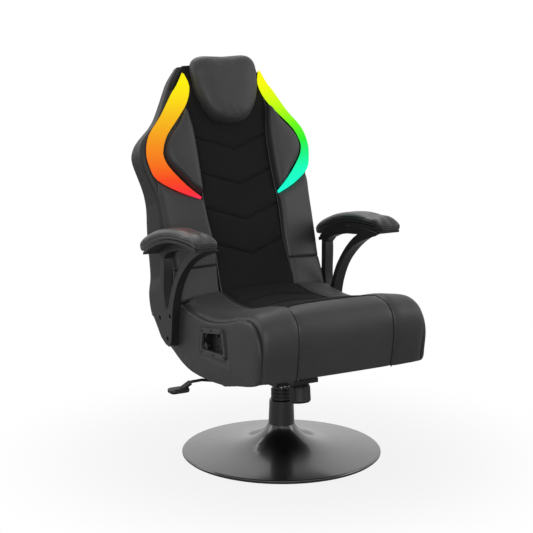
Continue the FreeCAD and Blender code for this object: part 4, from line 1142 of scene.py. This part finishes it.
def seat_lining():
    """Black cloth stretched over the foam and board under the seat."""
    parts = [copy_of("seat_core", "seat_lining"), copy_of("seat_bottom_cover", "lining_under")]
    piece = joined(parts, "seat_lining")
    remeshed(piece, 6)
    smoothed(piece, 3)
    shaded_smooth(piece)
    dressed(piece, BACKING)
    return on_seat(piece, ["seat_core", "seat_bottom_cover"])


def arm_pads():
    left = sewn_pad("armrest_pad_left", "arm_cushion_left", 4, lambda v: v.normal.z < -0.2, 3, 4, 3)
    subdivided(left)
    marked(left, "seam_mm", pad_seam)
    right = mirrored(left, "arm_cushion_right")
    shaded_smooth(right)
    for piece, node in ((left, "armrest_pad_left"), (right, "armrest_pad_right")):
        dressed(piece, PAD_SKIN)
        on_seat(piece, [node])


def pad_seam(place):
    """Distance to the two seams that run round an arm pad's side."""
    y, z = place.y / MM, place.z / MM
    low, high = at(PAD_FOOT, y), at(PAD_CROWN, y)
    share = (z - low) / max(high - low, 8.0)
    return min(abs(share - 0.62), abs(share - 0.36)) * (high - low)


# Piping

def cord_piece(name, points, radius, finish):
    """Sewn-in round edging that follows smooth points."""
    curve = bpy.data.curves.new(name, "CURVE")
    curve.dimensions = "3D"
    curve.bevel_depth = radius * MM
    curve.bevel_resolution = 3
    curve.resolution_u = 6
    line = curve.splines.new("NURBS")
    line.points.add(len(points) - 1)
    for control, point in zip(line.points, points):
        control.co = (*point, 1)
    line.order_u = 3
    line.use_endpoint_u = True
    curve.use_fill_caps = True
    piece = bpy.data.objects.new(name, curve)
    bpy.context.scene.collection.objects.link(piece)
    pick(piece)
    bpy.ops.object.convert(target="MESH")
    piece = bpy.context.object
    shaded_smooth(piece)
    dressed(piece, finish)
    return on_seat(piece, [])


def seat_seam_points(side, sink):
    """Line between the centre panel and a bolster, over the crest and down the front."""
    points = []
    for k in range(19):
        y = 116 - k * (116 - CREST_Y) / 18
        points.append(Vector((side * seam_x(y), y, at(SEAT_TOP, y) - sink)) * MM)
    length, tables = nose_tables()
    for k in range(1, 16):
        run = length * k / 15
        y, z, back, down = (at(table, run) for table in tables)
        y += back * sink
        points.append(Vector((side * seam_x(y), y, z - down * sink)) * MM)
    return points


def seat_piping():
    for side, word in ((1, "left"), (-1, "right")):
        cord_piece("seat_piping_" + word, seat_seam_points(side, 6.0), 2.2, PIPING)
        cord_piece("back_piping_" + word, back_seam_points(side), 1.8, PIPING)
        cord_piece("bolster_piping_" + word, bolster_seam_points(side), 2.0, PIPING)


def back_seam_points(side):
    """Line between the back's centre panel and the pads beside it."""
    points = []
    for k in range(26):
        s = 8 + 22 * k
        points.append(on_back(side * at(PANEL_HALF, s), at(PANEL_FRONT, s) + 5.5, s))
    return points


def bolster_seam_points(side):
    """Line between a bolster's top and the seat's side panel."""
    points = []
    for k in range(20):
        y = 100 - k * 18
        x = SIDE_X - (y - SIDE_Y) * math.tan(SIDE_TURN) - 11
        points.append(Vector((side * x, y, at(SEAT_TOP, y) - 29)) * MM)
    return points


# CAD nodes that keep their shape

CAD_FINISHES = {
    "base_trumpet": BASE_COAT, "base_floor_ring": RUBBER, "base_hub_tube": BASE_COAT,
    "hub_collar": COLLAR_PLASTIC, "cylinder_outer_tube": STEEL, "cylinder_guide_bush": BUSH_PLASTIC,
    "piston_rod": STEEL, "thrust_bearing": STEEL, "inner_cylinder": CHROME, "valve_pin": STEEL,
    "mechanism_housing": MECHANISM_COAT, "taper_socket": MECHANISM_COAT, "tilt_pivot_pin": STEEL,
    "tension_bolt": STEEL, "tension_spring": STEEL, "tension_knob": KNOB_PLASTIC,
    "lift_actuator": MECHANISM_COAT, "lever_rod": LEVER_COAT, "lever_paddle": KNOB_PLASTIC,
    "seat_board": PLYWOOD, "seat_plate": MECHANISM_COAT, "seat_plate_bolts": BOLT_COAT,
    "led_strip_left": COOL_LIGHT, "led_strip_right": WARM_LIGHT,
    "led_channel_left": TRAY_PLASTIC, "led_channel_right": TRAY_PLASTIC,
    "back_frame": MECHANISM_COAT, "armrest_frame_left": ARM_PLASTIC, "armrest_frame_right": ARM_PLASTIC,
    "armrest_plate_left": ARM_PLASTIC, "armrest_plate_right": ARM_PLASTIC, "armrest_bolts": BOLT_COAT,
    "control_bezel": BEZEL_PLASTIC, "control_tray": TRAY_PLASTIC, "bezel_screws": BOLT_COAT,
    "control_board": CIRCUIT, "jack_block": TRAY_PLASTIC, "volume_dial": KNOB_PLASTIC,
    "bass_dial": KNOB_PLASTIC, "power_button": KNOB_PLASTIC,
}


def dress_cad_nodes():
    for name, finish in CAD_FINISHES.items():
        dressed(NODES[name], finish)


# Stage, light and camera

def make_floor_finish():
    """Pale floor that keeps the shadow and runs out to plain white."""
    finish = Finish("pale_floor")
    parts = finish.node("ShaderNodeSeparateXYZ", {}, {0: finish.place()})
    node = parts.socket.node
    x, y = Value(finish, node.outputs["X"]), Value(finish, node.outputs["Y"])
    away = (x * x + y * y) ** 0.5
    seen = finish.node("ShaderNodeLightPath", out="Is Camera Ray")
    grain = finish.noise(40, 2)
    finish.set(Base_Color=finish.tint(grain, (0.5, 0.5, 0.5), (0.54, 0.54, 0.54)), Roughness=0.9)
    finish.set(Specular_IOR_Level=0.0)
    white = finish.node("ShaderNodeEmission", {}, {"Color": (1, 1, 1, 1), "Strength": 1.0})
    share = seen * (0.86 + away.eased(0.3, 0.9) * 0.14)
    shaded = Value(finish, finish.shader.outputs[0])
    mixed = finish.node("ShaderNodeMixShader", {}, {0: share, 1: shaded, 2: white})
    output = finish.tree.nodes["Material Output"]
    finish.feed(output.inputs["Surface"], mixed)
    return finish.material


def floor():
    bpy.ops.mesh.primitive_circle_add(vertices=64, radius=400, fill_type="NGON", location=(0, 0, 0))
    piece = bpy.context.object
    piece.name = "floor"
    dressed(piece, make_floor_finish())


WORLD_LIGHT = 0.28


def world():
    """White to the camera and in mirrors, and a plain level of light on the object."""
    made = bpy.data.worlds.new("studio")
    made.use_nodes = True
    tree = made.node_tree
    back = tree.nodes["Background"]
    back.inputs["Color"].default_value = (1, 1, 1, 1)
    path = tree.nodes.new("ShaderNodeLightPath")
    mirror = tree.nodes.new("ShaderNodeMath")
    mirror.operation = "MAXIMUM"
    tree.links.new(path.outputs["Is Camera Ray"], mirror.inputs[0])
    tree.links.new(path.outputs["Is Glossy Ray"], mirror.inputs[1])
    level = tree.nodes.new("ShaderNodeMapRange")
    level.inputs["To Min"].default_value = WORLD_LIGHT
    level.inputs["To Max"].default_value = 1.0
    tree.links.new(mirror.outputs[0], level.inputs["Value"])
    tree.links.new(level.outputs[0], back.inputs["Strength"])
    bpy.context.scene.world = made


def softbox(name, place, target, size, watts):
    light = bpy.data.lights.new(name, "AREA")
    light.shape = "RECTANGLE"
    light.size, light.size_y = size
    light.energy = watts
    lamp = bpy.data.objects.new(name, light)
    bpy.context.scene.collection.objects.link(lamp)
    lamp.location = place
    lamp.rotation_euler = (Vector(target) - Vector(place)).to_track_quat("-Z", "Y").to_euler()


def lights():
    softbox("key_box", (-1.9, -3.0, 1.25), (0, 0, 0.6), (1.8, 1.6), 40)
    softbox("fill_box", (2.8, -1.6, 1.8), (0, 0, 0.6), (1.4, 2.0), 22)
    softbox("top_box", (0.1, 1.9, 2.9), (0, -0.1, 0.6), (2.0, 2.0), 34)
    softbox("rear_box", (-2.4, 2.2, 1.8), (0, 0, 0.6), (1.4, 1.8), 18)


CAMERA_PLACE = (-1.9592, -3.2606, 1.2561)
CAMERA_AIM = (0.4966, 0.8472, -0.1891)
CAMERA_LENS = 96.48


def camera():
    """Camera where the photograph was taken from."""
    data = bpy.data.cameras.new("photo_camera")
    data.sensor_width = 36
    data.lens = CAMERA_LENS
    eye = bpy.data.objects.new("photo_camera", data)
    bpy.context.scene.collection.objects.link(eye)
    eye.location = CAMERA_PLACE
    eye.rotation_euler = Vector(CAMERA_AIM).to_track_quat("-Z", "Y").to_euler()
    bpy.context.scene.camera = eye


seat_center()
back_center()
front_roll()
seat_bolsters()
seat_sides()
back_pads()
pillow()
rear_cover()
strap()
seat_lining()
arm_pads()
seat_piping()
dress_cad_nodes()
floor()
world()
lights()
camera()
bpy.context.scene.view_settings.view_transform = "Standard"
